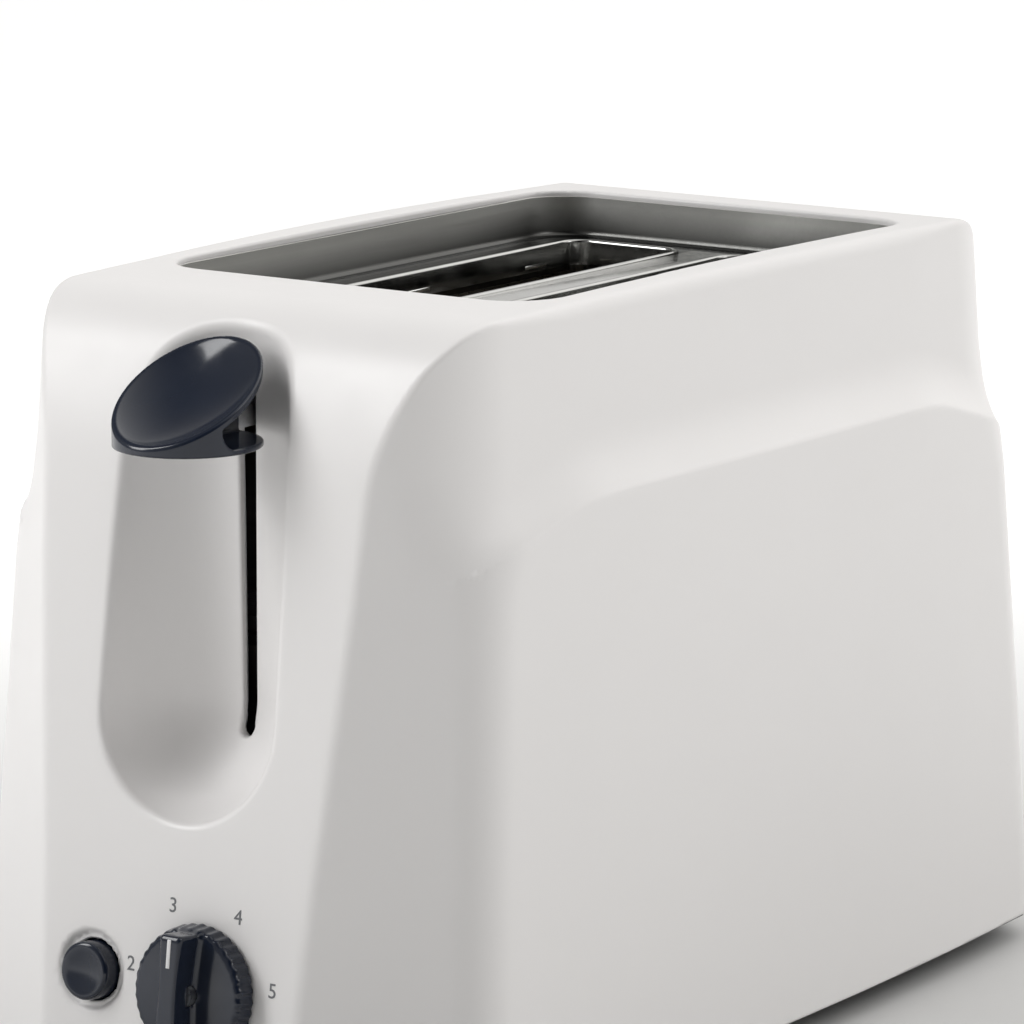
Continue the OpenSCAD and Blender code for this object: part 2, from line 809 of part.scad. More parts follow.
module bread_lifter(sx) color("silver") in_body() {
    x = sx * slot_x;
    top = lifter_z + lifter_t;
    block(x - lifter_half, x + lifter_half, lifter_front_y, lifter_rear_y, lifter_z, top);
    block(x - lifter_tail_half, x + lifter_tail_half, lifter_rear_y - 2, lifter_tail_y,
        lifter_z - 2 * lifter_t, top);
    for (y = [-54:tooth_pitch:66], side = [-1, 1])
        translate([x + side * tooth_x, y, lifter_z])
            block(-0.5, 0.5, 0, tooth_w, 0, tooth_h);
}

module keeper_plate() color("dimgray") in_body()
    block(magnet_x0, magnet_x1, magnet_front_y - 1, magnet_rear_y + 1, keeper_z, keeper_z + keeper_t);

// Iron core with a leg at each side.
module magnet_core() color("dimgray") in_body() {
    block(magnet_x0, magnet_x1, magnet_front_y, magnet_rear_y, floor_z + plate_t, magnet_yoke_z);
    for (x = [magnet_x0, magnet_x1 - magnet_leg])
        block(x, x + magnet_leg, magnet_front_y, magnet_rear_y, magnet_yoke_z - 1, magnet_top_z);
}

module magnet_coil() color("peru") in_body()
    block(coil_x0, coil_x1, magnet_front_y - coil_over, magnet_rear_y + coil_over,
        magnet_yoke_z + 0.4, magnet_top_z - 2);

module contact_block() color("saddlebrown") in_body() difference() {
    block(contact_block_x0, contact_block_x1, magnet_front_y - 1, magnet_rear_y + 1,
        floor_z + plate_t, contact_block_z);
    for (x = contact_x)
        block(x - contact_slot_half, x + contact_slot_half, -88, -82, contact_z - 0.2, contact_block_z + 2);
}

module contact_springs() color("goldenrod") in_body() for (x = contact_x)
    block(x - contact_half, x + contact_half, -87.5, -82.5, contact_z, contact_top_z);

module control_board() color("darkgreen") difference() {
    on_end_face(0)
        block(-board_half_x, board_half_x, board_low_y, board_high_y, board_back, -board_depth);
    board_posts(board_back - through) cylinder(r = 1.4, h = 6);
}

module board_screws() color("silver") board_posts(board_back - 1.6) {
    cylinder(r = 2.4, h = 1.5);
    cylinder(r = 1, h = 8);
}

module timer_chip() color("black") on_end_face(0) block(-11, -1, 2, 9, board_back - 3.5, board_back - 0.1);

module capacitor() color("navy") on_end_face(18)
    translate([0, 4, board_back - 14.1])
        cylinder(r = 5, h = 14);

module dial_potentiometer() color("steelblue") on_end_face(dial_x) difference() {
    translate([0, 0, -board_depth + 0.1]) cylinder(r = pot_r, h = pot_h);
    translate([0, 0, -board_depth + 1]) cylinder(r = shaft_r + 0.05, h = 2 * pot_h);
}

module dial_shaft() color("lightgray") on_end_face(dial_x)
    translate([0, 0, -board_depth + 1.2])
        cylinder(r = shaft_r, h = shaft_len);

module browning_dial() color("midnightblue") on_end_face(dial_x) difference() {
    union() {
        translate([0, 0, dial_lift]) cylinder(r = dial_r, h = dial_skirt_h);
        block(-dial_grip_half, dial_grip_half, -grip_half, grip_half, dial_skirt_h, dial_out);
    }
    translate([0, 0, -through]) cylinder(r = shaft_r + snug, h = dial_bore_h);
}

module stop_switch() color("black") on_end_face(button_x)
    translate([0, 0, -board_depth + 0.1])
        block(-switch_half, switch_half, -switch_half, switch_half, 0, switch_h);

module stop_button() color("midnightblue") on_end_face(button_x) {
    translate([0, 0, -button_back]) cylinder(r = button_r, h = button_len);
    translate([0, 0, button_flange_z]) cylinder(r = button_r + button_flange_w, h = button_flange_t);
}

module terminal_block() color("ivory") in_body() difference() {
    block(terminal_x0, terminal_x1, terminal_y0, terminal_y1, terminal_z0, terminal_z1);
    for (x = terminal_bore_x, y = [terminal_y0 - 12, terminal_y1 - terminal_bore_in])
        translate([x, y, terminal_bore_z])
            rotate([-90, 0, 0])
                cylinder(r = terminal_bore_r, h = 20);
}

// Round lead through a list of points, with balls at the bends.
module lead(points, r) for (i = [0:len(points) - 2]) {
    step = points[i + 1] - points[i];
    flat = norm([step[0], step[1]]);
    translate(points[i]) {
        rotate([0, atan2(flat, step[2]), atan2(step[1], step[0])])
            cylinder(r = r, h = norm(step), $fn = wire_facets);
        sphere(r = r * 1.001, $fn = wire_facets);
    }
}

// Two leads from the gland along the left side to the terminal block, and on to the board.
module hookup_leads() color("firebrick") in_body() for (k = [0, 1]) {
    x = lead_x - lead_step * k;
    z = terminal_bore_z;
    lead([[gland_x, end_y(gland_z) - gland_len, 23.6 + 2.6 * k], [-37, 92 + 4 * k, 24],
        [x, 84 + 4 * k, 21], [x, -44, 18], [x, -54, z], [x, -59, z]], lead_r);
    lead([[x, -75, z], [x, -84 - 6 * k, z], [-34 - 3 * k, -94 - 6 * k, z + 1],
        [-25 - 5 * k, -123.4, 20]], lead_r);
}

module crumb_tray() color("silver") in_body() difference() {
    block(-tray_half_x, tray_half_x, tray_front_y, tray_rear_y, tray_z, tray_top_z);
    block(-tray_half_x + tray_t, tray_half_x - tray_t, tray_front_y + tray_t, tray_rear_y - tray_t,
        tray_z + tray_t, 2 * tray_top_z);
}

// Handle that continues the rear face, with a tab to pull and a finger groove across it.
module tray_handle() color("dimgray") in_body() difference() {
    union() {
        intersection() {
            envelope(0.2, skirt_z);
            block(-tray_half_x, tray_half_x, tray_rear_y + 0.1, 160, tray_z, handle_top_z);
        }
        block(-pull_half, pull_half, tray_rear_y + 1, tray_reach, pull_z0, pull_z1);
    }
    translate([0, tray_reach - 3, pull_groove_z])
        block(-pull_groove_half, pull_groove_half, 0, pull_groove_w, 0, 2 * pull_z0);
}

outer_shell();
base_plate();
rubber_feet();
base_screws();
cord_gland();
slot_deck();
slot_lip(-1);  // left_slot_lip
slot_lip(1);  // right_slot_lip
front_chassis_plate();
rear_chassis_plate();
chassis_floor();
heat_shield(-1);  // left_heat_shield
heat_shield(1);  // right_heat_shield
element_card(-card_x);  // left_element_card
element_card(0);  // centre_element_card
element_card(card_x);  // right_element_card
element_ribbon(-card_x, [1]);  // left_element_ribbon
element_ribbon(0, [-1, 1]);  // centre_element_ribbon
element_ribbon(card_x, [-1]);  // right_element_ribbon
bread_guard(-slot_x - guard_offset);  // left_outer_guard
bread_guard(-slot_x + guard_offset);  // left_inner_guard
bread_guard(slot_x - guard_offset);  // right_inner_guard
bread_guard(slot_x + guard_offset);  // right_outer_guard
guide_rod();
rod_clip();
lift_spring();
carriage_bracket();
carriage_bush();
lever_stem();
lever_knob();
bread_lifter(-1);  // left_bread_lifter
bread_lifter(1);  // right_bread_lifter
keeper_plate();
magnet_core();
magnet_coil();
contact_block();
contact_springs();
control_board();
board_screws();
timer_chip();
capacitor();
dial_potentiometer();
dial_shaft();
browning_dial();
stop_switch();
stop_button();
terminal_block();
hookup_leads();
crumb_tray();
tray_handle();
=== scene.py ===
"""Looks of a two-slice pop up toaster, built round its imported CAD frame.

Shapes are worked out in millimetres with y measured from the middle of the moulding,
and turned into metres in the frame's own axes when each piece is made.
"""

import math

import bmesh
import bpy
import numpy as np
from mathutils import Matrix, Vector


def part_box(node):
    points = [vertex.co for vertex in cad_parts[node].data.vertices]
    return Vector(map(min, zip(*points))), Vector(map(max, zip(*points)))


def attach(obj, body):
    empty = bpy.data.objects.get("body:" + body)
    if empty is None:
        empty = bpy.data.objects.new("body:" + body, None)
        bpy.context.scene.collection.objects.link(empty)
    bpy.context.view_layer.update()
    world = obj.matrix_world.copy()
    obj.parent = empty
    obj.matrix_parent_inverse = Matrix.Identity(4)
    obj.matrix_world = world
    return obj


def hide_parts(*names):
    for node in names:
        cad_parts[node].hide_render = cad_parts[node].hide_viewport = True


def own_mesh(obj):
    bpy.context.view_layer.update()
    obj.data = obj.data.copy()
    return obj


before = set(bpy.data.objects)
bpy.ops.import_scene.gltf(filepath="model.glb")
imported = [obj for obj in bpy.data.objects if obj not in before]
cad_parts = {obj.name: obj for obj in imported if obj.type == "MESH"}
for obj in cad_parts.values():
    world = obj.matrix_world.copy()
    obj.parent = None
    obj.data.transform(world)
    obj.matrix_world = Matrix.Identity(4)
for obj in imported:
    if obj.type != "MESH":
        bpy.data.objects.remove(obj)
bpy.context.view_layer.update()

MM = 0.001
shell_low, shell_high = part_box("outer_shell")
BODY_Y = (shell_low.y + shell_high.y) / 2 / MM


def corners(node):
    """Lowest and highest corner of a CAD node, in the millimetres used here."""
    low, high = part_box(node)
    shift = Vector((0, BODY_Y, 0))
    return low / MM - shift, high / MM - shift


# -------- driving dimensions, in millimetres

TOP_Z = shell_high.z / MM
SKIRT_Z = shell_low.z / MM
BASE_HALF_LENGTH = (shell_high.y - shell_low.y) / 2 / MM
BOX_GAP = 0.06  # keeps the sides of the moulding inside the CAD box
BASE_HALF_WIDTH = (shell_high.x - shell_low.x) / 2 / MM - BOX_GAP
WALL = 2.4
END_LEAN = math.radians(7.3)
SIDE_LEAN = math.radians(2.5)
BOW_R = 1800

OPEN_X, OPEN_Y, OPEN_R = 51.4, 79.0, 12.5
OPEN_MID_Y = 5.7
SLOT_HALF_X, SLOT_HALF_Y, SLOT_R = 15.5, 67.6, 5
SLOT_X = 22.5
DECK_Z = corners("left_slot_lip")[1].z - 1.6

SCOOP_R, SCOOP_Y, SCOOP_BALL_Z = 23.1, -129.3, 91.8
LEVER_SLOT_Z, LEVER_SLOT_WIDEST_Z, LEVER_SLOT_TOP_Z = 83.1, 150, 166.5
LEVER_SLOT_LOW_W, LEVER_SLOT_TOP_W = 3.5, 4.5
LEVER_SLOT_Y, LEVER_SLOT_HALF_Y = -106, 9
CONTROL_Z = 34
DIAL_X, DIAL_R = 9, 15
BUTTON_X, BUTTON_R = -21, 6.4
GLAND_X, GLAND_Z = -24, 27


def end_y(z):
    """Distance of the leaning end face from the middle, at height z."""
    return BASE_HALF_LENGTH - (z - SKIRT_Z) * math.tan(END_LEAN)


# -------- materials


class Nodes:
    """A material's node tree, with short calls for the nodes used below."""

    def __init__(self, name):
        self.material = bpy.data.materials.new(name)
        self.material.use_nodes = True
        self.tree = self.material.node_tree
        self.shader = self.tree.nodes["Principled BSDF"]

    def add(self, kind, **settings):
        node = self.tree.nodes.new(kind)
        for key, value in settings.items():
            setattr(node, key, value)
        return node

    def link(self, a, b):
        self.tree.links.new(a, b)

    def set(self, **values):
        for key, value in values.items():
            self.shader.inputs[key.replace("_", " ")].default_value = value

    def coordinates(self, stretch=(1, 1, 1)):
        source = self.add("ShaderNodeTexCoord")
        mapping = self.add("ShaderNodeMapping")
        mapping.inputs["Scale"].default_value = stretch
        self.link(source.outputs["Object"], mapping.inputs["Vector"])
        return mapping.outputs["Vector"]

    def noise(self, vector, scale, detail=3.0, rough=0.5):
        node = self.add("ShaderNodeTexNoise")
        node.inputs["Scale"].default_value = scale
        node.inputs["Detail"].default_value = detail
        node.inputs["Roughness"].default_value = rough
        self.link(vector, node.inputs["Vector"])
        return node.outputs["Fac"]

    def ramp(self, factor, stops):
        node = self.add("ShaderNodeValToRGB")
        elements = node.color_ramp.elements
        while len(elements) < len(stops):
            elements.new(0.5)
        for element, (position, colour) in zip(elements, stops):
            element.position = position
            element.color = (*colour, 1)
        self.link(factor, node.inputs["Fac"])
        return node.outputs["Color"]

    def span(self, factor, low, high, from_low=0.3, from_high=0.7):
        node = self.add("ShaderNodeMapRange")
        node.inputs["From Min"].default_value = from_low
        node.inputs["From Max"].default_value = from_high
        node.inputs["To Min"].default_value = low
        node.inputs["To Max"].default_value = high
        self.link(factor, node.inputs["Value"])
        return node.outputs["Result"]

    def bump(self, height, strength, distance, normal=None):
        node = self.add("ShaderNodeBump")
        node.inputs["Strength"].default_value = strength
        node.inputs["Distance"].default_value = distance
        self.link(height, node.inputs["Height"])
        if normal is not None:
            self.link(normal, node.inputs["Normal"])
        return node.outputs["Normal"]

    def finish(self, colour=None, rough=None, normal=None):
        for socket, value in (("Base Color", colour), ("Roughness", rough), ("Normal", normal)):
            if value is not None:
                self.link(value, self.shader.inputs[socket])
        return self.material


def tinted(colour, factor):
    return tuple(c * factor for c in colour)


def plastic(name, colour, rough, vary=0.04, grain=900, grain_depth=0.02):
    """Moulded plastic: faint flow marks in the colour and gloss, and a fine grain."""
    n = Nodes(name)
    where = n.coordinates()
    broad = n.noise(where, 14, 4)
    fine = n.noise(where, grain, 2)
    colours = n.ramp(broad, [(0.3, tinted(colour, 1 - vary)), (0.7, tinted(colour, 1 + vary * 0.4))])
    roughness = n.span(n.noise(where, 98, 5, 0.6), rough * 0.85, rough * 1.2)
    n.set(IOR=1.5)
    return n.finish(colours, roughness, n.bump(fine, 0.25, grain_depth * MM))


def metal(name, colour, rough, grain=(40, 900, 900), depth=0.02, vary=0.12, stain=None):
    """Rolled or drawn metal: streaks along its grain, patchy gloss and a few stains."""
    n = Nodes(name)
    along = n.coordinates(grain)
    where = n.coordinates()
    streaks = n.noise(along, 1.0, 4, 0.6)
    patches = n.noise(where, 22, 4, 0.6)
    stops = [(0.25, tinted(colour, 1 - vary)), (0.6, colour), (0.85, tinted(colour, 1 + vary * 0.3))]
    if stain is not None:
        stops[0] = (0.32, stain)
    colours = n.ramp(patches, stops)
    roughness = n.span(streaks, rough * 0.75, rough * 1.35)
    n.set(Metallic=1.0)
    return n.finish(colours, roughness, n.bump(streaks, 0.3, depth * MM))


def white_moulding():
    """Satin white plastic: a slow ripple, a fine grain and a few raised specks."""
    n = Nodes("white_moulding")
    where = n.coordinates()
    flow = n.noise(where, 9, 3, 0.45)
    satin = n.noise(where, 60, 4, 0.6)
    grain = n.noise(where, 1500, 2)
    specks = n.noise(where, 260, 2, 0.3)
    base = (0.800, 0.786, 0.779)
    colours = n.ramp(flow, [(0.3, tinted(base, 0.985)), (0.7, base)])
    n.set(IOR=1.49, Coat_Weight=0.08, Coat_Roughness=0.25)
    ripple = n.bump(flow, 0.10, 0.6 * MM)
    fine = n.bump(grain, 0.12, 0.012 * MM, ripple)
    speckled = n.bump(n.span(specks, 0, 1, 0.66, 0.74), 0.25, 0.04 * MM, fine)
    return n.finish(colours, n.span(satin, 0.34, 0.46), speckled)


def deck_metal():
    """Satin steel pan with patchy tone, glossier on the deck than up its walls; its colour is darkened
    towards the deck and down the slots as painted shade.
    """
    n = Nodes("deck_metal")
    where = n.coordinates()
    along = n.coordinates((900, 30, 900))
    streaks = n.noise(along, 1.0, 4, 0.6)
    heat = n.noise(where, 30, 5, 0.6)
    colours = n.ramp(heat, [(0.2, (0.46, 0.46, 0.44)), (0.8, (0.52, 0.52, 0.50))])
    height = n.add("ShaderNodeSeparateXYZ")
    n.link(where, height.inputs[0])
    # painted shade: the colour is scaled to a tenth at the deck and in the slot collars, rising to nine
    # tenths 8 mm up the walls
    painted_shade = n.span(height.outputs["Z"], 0.10, 0.9, (DECK_Z + 0.3) * MM, (DECK_Z + 8) * MM)
    dulled = n.span(height.outputs["Z"], 0.14, 0.5, (DECK_Z + 0.1) * MM, (DECK_Z + 2) * MM)
    patchy = n.add("ShaderNodeMath", operation="MULTIPLY")
    n.link(dulled, patchy.inputs[0])
    n.link(n.span(streaks, 0.9, 1.1), patchy.inputs[1])
    darker = n.add("ShaderNodeVectorMath", operation="SCALE")
    n.link(colours, darker.inputs[0])
    n.link(painted_shade, darker.inputs["Scale"])
    n.set(Metallic=1.0)
    return n.finish(darker.outputs["Vector"], patchy.outputs["Value"], n.bump(streaks, 0.1, 0.01 * MM))


def bright_metal(name, colour, rough):
    """Polished metal with smears and hairline scratches."""
    n = Nodes(name)
    where = n.coordinates()
    smears = n.noise(where, 120, 5, 0.65)
    scratches = n.noise(n.coordinates((60, 1400, 1400)), 1.0, 2, 0.5)
    colours = n.ramp(smears, [(0.3, tinted(colour, 0.88)), (0.65, colour)])
    n.set(Metallic=1.0)
    return n.finish(colours, n.span(smears, rough * 0.6, rough * 1.7), n.bump(scratches, 0.12, 0.01 * MM))


def navy_gloss():
    """Dark blue gloss plastic with finger smears and dust specks."""
    n = Nodes("navy_gloss")
    where = n.coordinates()
    flow = n.noise(where, 45, 3)
    smears = n.noise(where, 170, 5, 0.65)
    specks = n.noise(where, 900, 2, 0.4)
    colours = n.ramp(flow, [(0.3, (0.0085, 0.0125, 0.024)), (0.7, (0.012, 0.017, 0.031))])
    n.set(IOR=1.48)
    normal = n.bump(n.span(specks, 0, 1, 0.62, 0.75), 0.15, 0.02 * MM, n.bump(flow, 0.1, 0.08 * MM))
    return n.finish(colours, n.span(smears, 0.10, 0.18), normal)


def mica_sheet():
    """Flaky mineral sheet."""
    n = Nodes("mica_sheet")
    where = n.coordinates()
    flakes = n.add("ShaderNodeTexVoronoi", feature="F1")
    flakes.inputs["Scale"].default_value = 240
    n.link(where, flakes.inputs["Vector"])
    distance = flakes.outputs["Distance"]
    colours = n.ramp(distance, [(0.0, (0.42, 0.36, 0.27)), (0.6, (0.62, 0.55, 0.43))])
    roughness = n.span(n.noise(where, 200), 0.25, 0.5)
    n.set(Sheen_Weight=0.1, IOR=1.58)
    return n.finish(colours, roughness, n.bump(distance, 0.3, 0.05 * MM))


def rubber(name, colour):
    """Dull rubber with dust on it."""
    n = Nodes(name)
    where = n.coordinates()
    dust = n.noise(where, 90, 5, 0.7)
    colours = n.ramp(dust, [(0.35, colour), (0.8, tinted(colour, 1.8))])
    n.set(IOR=1.5)
    return n.finish(colours, n.span(dust, 0.6, 0.85), n.bump(n.noise(where, 1600, 3), 0.3, 0.03 * MM))


def windings():
    """Enamelled wire wound close."""
    n = Nodes("copper_windings")
    wave = n.add("ShaderNodeTexWave", bands_direction="Z")
    wave.inputs["Scale"].default_value = 900
    wave.inputs["Distortion"].default_value = 0.6
    n.link(n.coordinates(), wave.inputs["Vector"])
    turns = wave.outputs["Fac"]
    # painted shade: the ramp puts its dark end in the bump's grooves between the turns
    colours = n.ramp(turns, [(0.1, (0.16, 0.05, 0.02)), (0.7, (0.62, 0.27, 0.11))])
    n.set(Metallic=1.0)
    return n.finish(colours, n.span(turns, 0.5, 0.25), n.bump(turns, 0.8, 0.12 * MM))


def printed_board():
    """Green lacquered board with its tracks showing."""
    n = Nodes("printed_board")
    where = n.coordinates()
    tracks = n.add("ShaderNodeTexBrick")
    tracks.inputs["Scale"].default_value = 160
    tracks.inputs["Mortar Size"].default_value = 0.03
    tracks.inputs["Color1"].default_value = (0.03, 0.16, 0.07, 1)
    tracks.inputs["Color2"].default_value = (0.035, 0.18, 0.085, 1)
    tracks.inputs["Mortar"].default_value = (0.06, 0.27, 0.12, 1)
    n.link(where, tracks.inputs["Vector"])
    n.set(IOR=1.55, Coat_Weight=0.4, Coat_Roughness=0.15)
    roughness = n.span(n.noise(where, 300), 0.3, 0.5)
    return n.finish(tracks.outputs["Color"], roughness, n.bump(tracks.outputs["Fac"], 0.3, 0.03 * MM))


WHITE = white_moulding()
NAVY = navy_gloss()
DECK = deck_metal()
CHROME = bright_metal("bright_trim", (0.80, 0.80, 0.78), 0.13)
BRIDGE = bright_metal("bright_bridge", (0.72, 0.72, 0.70), 0.14)
# painted shade: the rolled lips get a much darker colour than the bright trim (0.36 against 0.80), standing
# in for the dark well they reflect
SHADED_LIP_METAL = bright_metal("lip_metal", (0.36, 0.36, 0.35), 0.10)
WIRE = bright_metal("guard_wire", (0.62, 0.61, 0.59), 0.24)
ALUMINISED = metal("aluminised_steel", (0.42, 0.42, 0.41), 0.42, stain=(0.27, 0.25, 0.22))
REFLECTOR = metal("bright_reflector", (0.30, 0.30, 0.29), 0.3, stain=(0.20, 0.18, 0.15))
ZINC = metal("zinc_steel", (0.55, 0.56, 0.58), 0.34, stain=(0.46, 0.47, 0.46))
SPRING_STEEL = metal("spring_steel", (0.34, 0.34, 0.36), 0.28)
IRON = metal("laminated_iron", (0.20, 0.20, 0.21), 0.5, grain=(30, 1800, 30), depth=0.06)
RIBBON = metal("heating_ribbon", (0.30, 0.28, 0.26), 0.5, stain=(0.16, 0.14, 0.14))
BRASS = metal("contact_brass", (0.70, 0.52, 0.24), 0.3, stain=(0.50, 0.36, 0.18))
DARK_BASE = plastic("dark_base", (0.045, 0.045, 0.05), 0.55, vary=0.12, grain=1100, grain_depth=0.06)
NYLON = plastic("natural_nylon", (0.74, 0.70, 0.60), 0.5, vary=0.06)
PHENOLIC = plastic("brown_phenolic", (0.11, 0.055, 0.03), 0.4, vary=0.2)
BLACK_PART = plastic("component_black", (0.022, 0.022, 0.024), 0.42, vary=0.2)
BLUE_PART = plastic("component_blue", (0.03, 0.07, 0.20), 0.22, vary=0.12)
SLEEVE = plastic("lead_insulation", (0.42, 0.06, 0.045), 0.55, vary=0.1)
PRINT = plastic("grey_print", (0.16, 0.165, 0.175), 0.5, vary=0.1)
PALE_MARK = plastic("pale_mark", (0.72, 0.72, 0.72), 0.4, vary=0.05)
FOOT = rubber("foot_rubber", (0.018, 0.018, 0.018))
MICA = mica_sheet()
COPPER = windings()
BOARD = printed_board()

SIDES = ("left", "centre", "right")
CAD_FINISHES = (
    (DARK_BASE, ["base_plate"]),
    (ALUMINISED, ["front_chassis_plate", "rear_chassis_plate", "chassis_floor", "left_bread_lifter",
                  "right_bread_lifter", "crumb_tray"]),
    (REFLECTOR, ["left_heat_shield", "right_heat_shield"]),
    (MICA, [f"{side}_element_card" for side in SIDES]),
    (RIBBON, [f"{side}_element_ribbon" for side in SIDES]),
    (ZINC, ["base_screws", "carriage_bracket", "lever_stem", "board_screws", "dial_shaft"]),
    (CHROME, ["guide_rod"]),
    (SPRING_STEEL, ["rod_clip"]),
    (NYLON, ["carriage_bush", "terminal_block"]),
    (IRON, ["keeper_plate", "magnet_core"]),
    (COPPER, ["magnet_coil"]),
    (PHENOLIC, ["contact_block"]),
    (BRASS, ["contact_springs"]),
    (BOARD, ["control_board"]),
    (BLACK_PART, ["timer_chip", "stop_switch"]),
    (BLUE_PART, ["capacitor", "dial_potentiometer"]),
    (SLEEVE, ["hookup_leads"]),
)
for finish, nodes in CAD_FINISHES:
    for node in nodes:
        cad_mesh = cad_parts[node].data
        cad_mesh.materials.clear()
        cad_mesh.materials.append(finish)


# -------- mesh helpers


def build(name, verts, faces, material, body, replaces=(), slot=None, normals=None, sharp=None):
    """A piece from points in millimetres. Smooth shaded, with edges over the angle sharp kept crisp."""
    points = (np.asarray(verts, float) + (0, BODY_Y, 0)) * MM
    mesh = bpy.data.meshes.new(name)
    mesh.from_pydata(points.tolist(), [], [tuple(f) for f in faces])
    mesh.validate()
    mesh.polygons.foreach_set("use_smooth", [True] * len(mesh.polygons))
    if normals is None:
        shape = bmesh.new()
        shape.from_mesh(mesh)
        bmesh.ops.recalc_face_normals(shape, faces=shape.faces)
        shape.to_mesh(mesh)
        shape.free()
    if sharp is not None:
        mesh.set_sharp_from_angle(angle=math.radians(sharp))
    if normals is not None:
        mesh.normals_split_custom_set_from_vertices(normals.tolist())
    mesh.materials.append(material)
    piece = bpy.data.objects.new(name, mesh)
    bpy.context.scene.collection.objects.link(piece)
    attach(piece, body)
    if replaces:
        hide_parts(*replaces)
    return piece


def joined(parts):
    """One list of points and one of faces from several."""
    verts, faces = [], []
    for points, polygons in parts:
        start = len(verts)
        verts.extend(tuple(p) for p in points)
        faces.extend(tuple(i + start for i in polygon) for polygon in polygons)
    return verts, faces


def moved(part, matrix):
    points, faces = part
    return [tuple(matrix @ Vector(p)) for p in points], faces


def gradient(field, p, step=0.12):
    """Slope of a field at many points."""
    columns = []
    for axis in range(3):
        offset = np.zeros(3)
        offset[axis] = step
        ahead, behind = p + offset, p - offset
        columns.append((field(*ahead.T) - field(*behind.T)) / (2 * step))
    return np.stack(columns, axis=1)


def cells_on_surface(inside):
    """Grid cells with corners both inside and outside."""
    nx, ny, nz = inside.shape
    count = np.zeros((nx - 1, ny - 1, nz - 1), int)
    for i in (0, 1):
        for j in (0, 1):
            for k in (0, 1):
                count += inside[i:nx - 1 + i, j:ny - 1 + j, k:nz - 1 + k]
    return (count > 0) & (count < 8)


def cell_points(value, cells, grid):
    """A point in each cell: the mean of where its edges cross the surface."""
    total, hits = np.zeros((len(cells), 3)), np.zeros(len(cells))
    for axis in range(3):
        others = [a for a in range(3) if a != axis]
        for u in (0, 1):
            for v in (0, 1):
                first = cells.copy()
                first[:, others[0]] += u
                first[:, others[1]] += v
                last = first.copy()
                last[:, axis] += 1
                a, b = value[tuple(first.T)], value[tuple(last.T)]
                crossed = (a < 0) != (b < 0)
                share = np.where(crossed, a / np.where(crossed, a - b, 1), 0)
                start = np.stack([grid[d][first[:, d]] for d in range(3)], axis=1)
                end = np.stack([grid[d][last[:, d]] for d in range(3)], axis=1)
                total += (start + (end - start) * share[:, None]) * crossed[:, None]
                hits += crossed
    return total / hits[:, None]


def cell_quads(inside, index):
    """A face across each crossed grid edge, from the four cells round it."""
    quads = []
    for axis in range(3):
        others = [a for a in range(3) if a != axis]
        low = [slice(None)] * 3
        high = [slice(None)] * 3
        low[axis], high[axis] = slice(0, -1), slice(1, None)
        changes = inside[tuple(low)] != inside[tuple(high)]
        edges = np.array(np.nonzero(changes)).T
        keep = np.ones(len(edges), bool)
        for d in others:
            keep &= (edges[:, d] > 0) & (edges[:, d] < inside.shape[d] - 1)
        edges = edges[keep]
        ring = []
        for u, v in ((-1, -1), (0, -1), (0, 0), (-1, 0)):
            cell = edges.copy()
            cell[:, others[0]] += u
            cell[:, others[1]] += v
            ring.append(index[tuple(cell.T)])
        ring = np.stack(ring, axis=1)
        outward = inside[tuple(edges.T)]
        if axis == 1:
            outward = ~outward
        ring[~outward] = ring[~outward][:, ::-1]
        quads.append(ring)
    return np.concatenate(quads)


SETTLE_ROUNDS, SETTLE_LIMIT = 4, 0.7


def settled(field, points):
    """The points moved onto the surface along the field's slope, a limited step at a time."""
    for _ in range(SETTLE_ROUNDS):
        slope = gradient(field, points)
        size = np.maximum((slope**2).sum(1), 0.05)
        step = (field(*points.T) / size)[:, None] * slope
        length = np.linalg.norm(step, axis=1, keepdims=True)
        points = points - step * np.minimum(1, SETTLE_LIMIT / np.maximum(length, 1e-9))
    return points


def sculpt(field, xs, ys, zs):
    """Closed surface where field is zero, with its normals. The field is below zero inside."""
    value = field(*np.meshgrid(xs, ys, zs, indexing="ij"))
    inside = value < 0
    active = cells_on_surface(inside)
    cells = np.array(np.nonzero(active)).T
    index = np.full(active.shape, -1)
    index[active] = np.arange(len(cells))
    points = settled(field, cell_points(value, cells, (xs, ys, zs)))
    slope = gradient(field, points, 0.25)
    normals = slope / np.maximum(np.linalg.norm(slope, axis=1, keepdims=True), 1e-9)
    return points, cell_quads(inside, index), normals


def planes(*stretches):
    """Grid planes from (from, to, spacing) stretches laid end to end."""
    result = []
    for low, high, spacing in stretches:
        steps = max(1, round((high - low) / spacing))
        result.extend(low + (high - low) * i / steps for i in range(steps))
    result.append(stretches[-1][1])
    return np.array(result)


def smooth_max(a, b, k):
    """The greater of two fields, blended where they are within k of each other."""
    overlap = np.maximum(k - np.abs(a - b), 0)
    return np.maximum(a, b) + overlap * overlap / (4 * k)


def smooth_min(a, b, k):
    return -smooth_max(-a, -b, k)


def rounded_box_field(x, y, z, low, high, r):
    """Distance to a box with rounded edges."""
    distances = []
    for value, a, b in zip((x, y, z), low, high):
        distances.append(np.abs(value - (a + b) / 2) - ((b - a) / 2 - r))
    outside = np.sqrt(sum(np.maximum(d, 0) ** 2 for d in distances))
    return outside + np.minimum(np.maximum(np.maximum(distances[0], distances[1]), distances[2]), 0) - r


def turned(angle):
    """Unit vector at an angle, as (outward, up)."""
    return np.array([math.cos(angle), math.sin(angle)])


def corner_loop(hx, hy, r, steps=10):
    """Points round a rounded rectangle."""
    points = []
    for quarter, (sx, sy) in enumerate(((1, 1), (-1, 1), (-1, -1), (1, -1))):
        for i in range(steps + 1):
            a = math.radians(90 * (quarter + i / steps))
            points.append((sx * (hx - r) + r * math.cos(a), sy * (hy - r) + r * math.sin(a)))
    return points


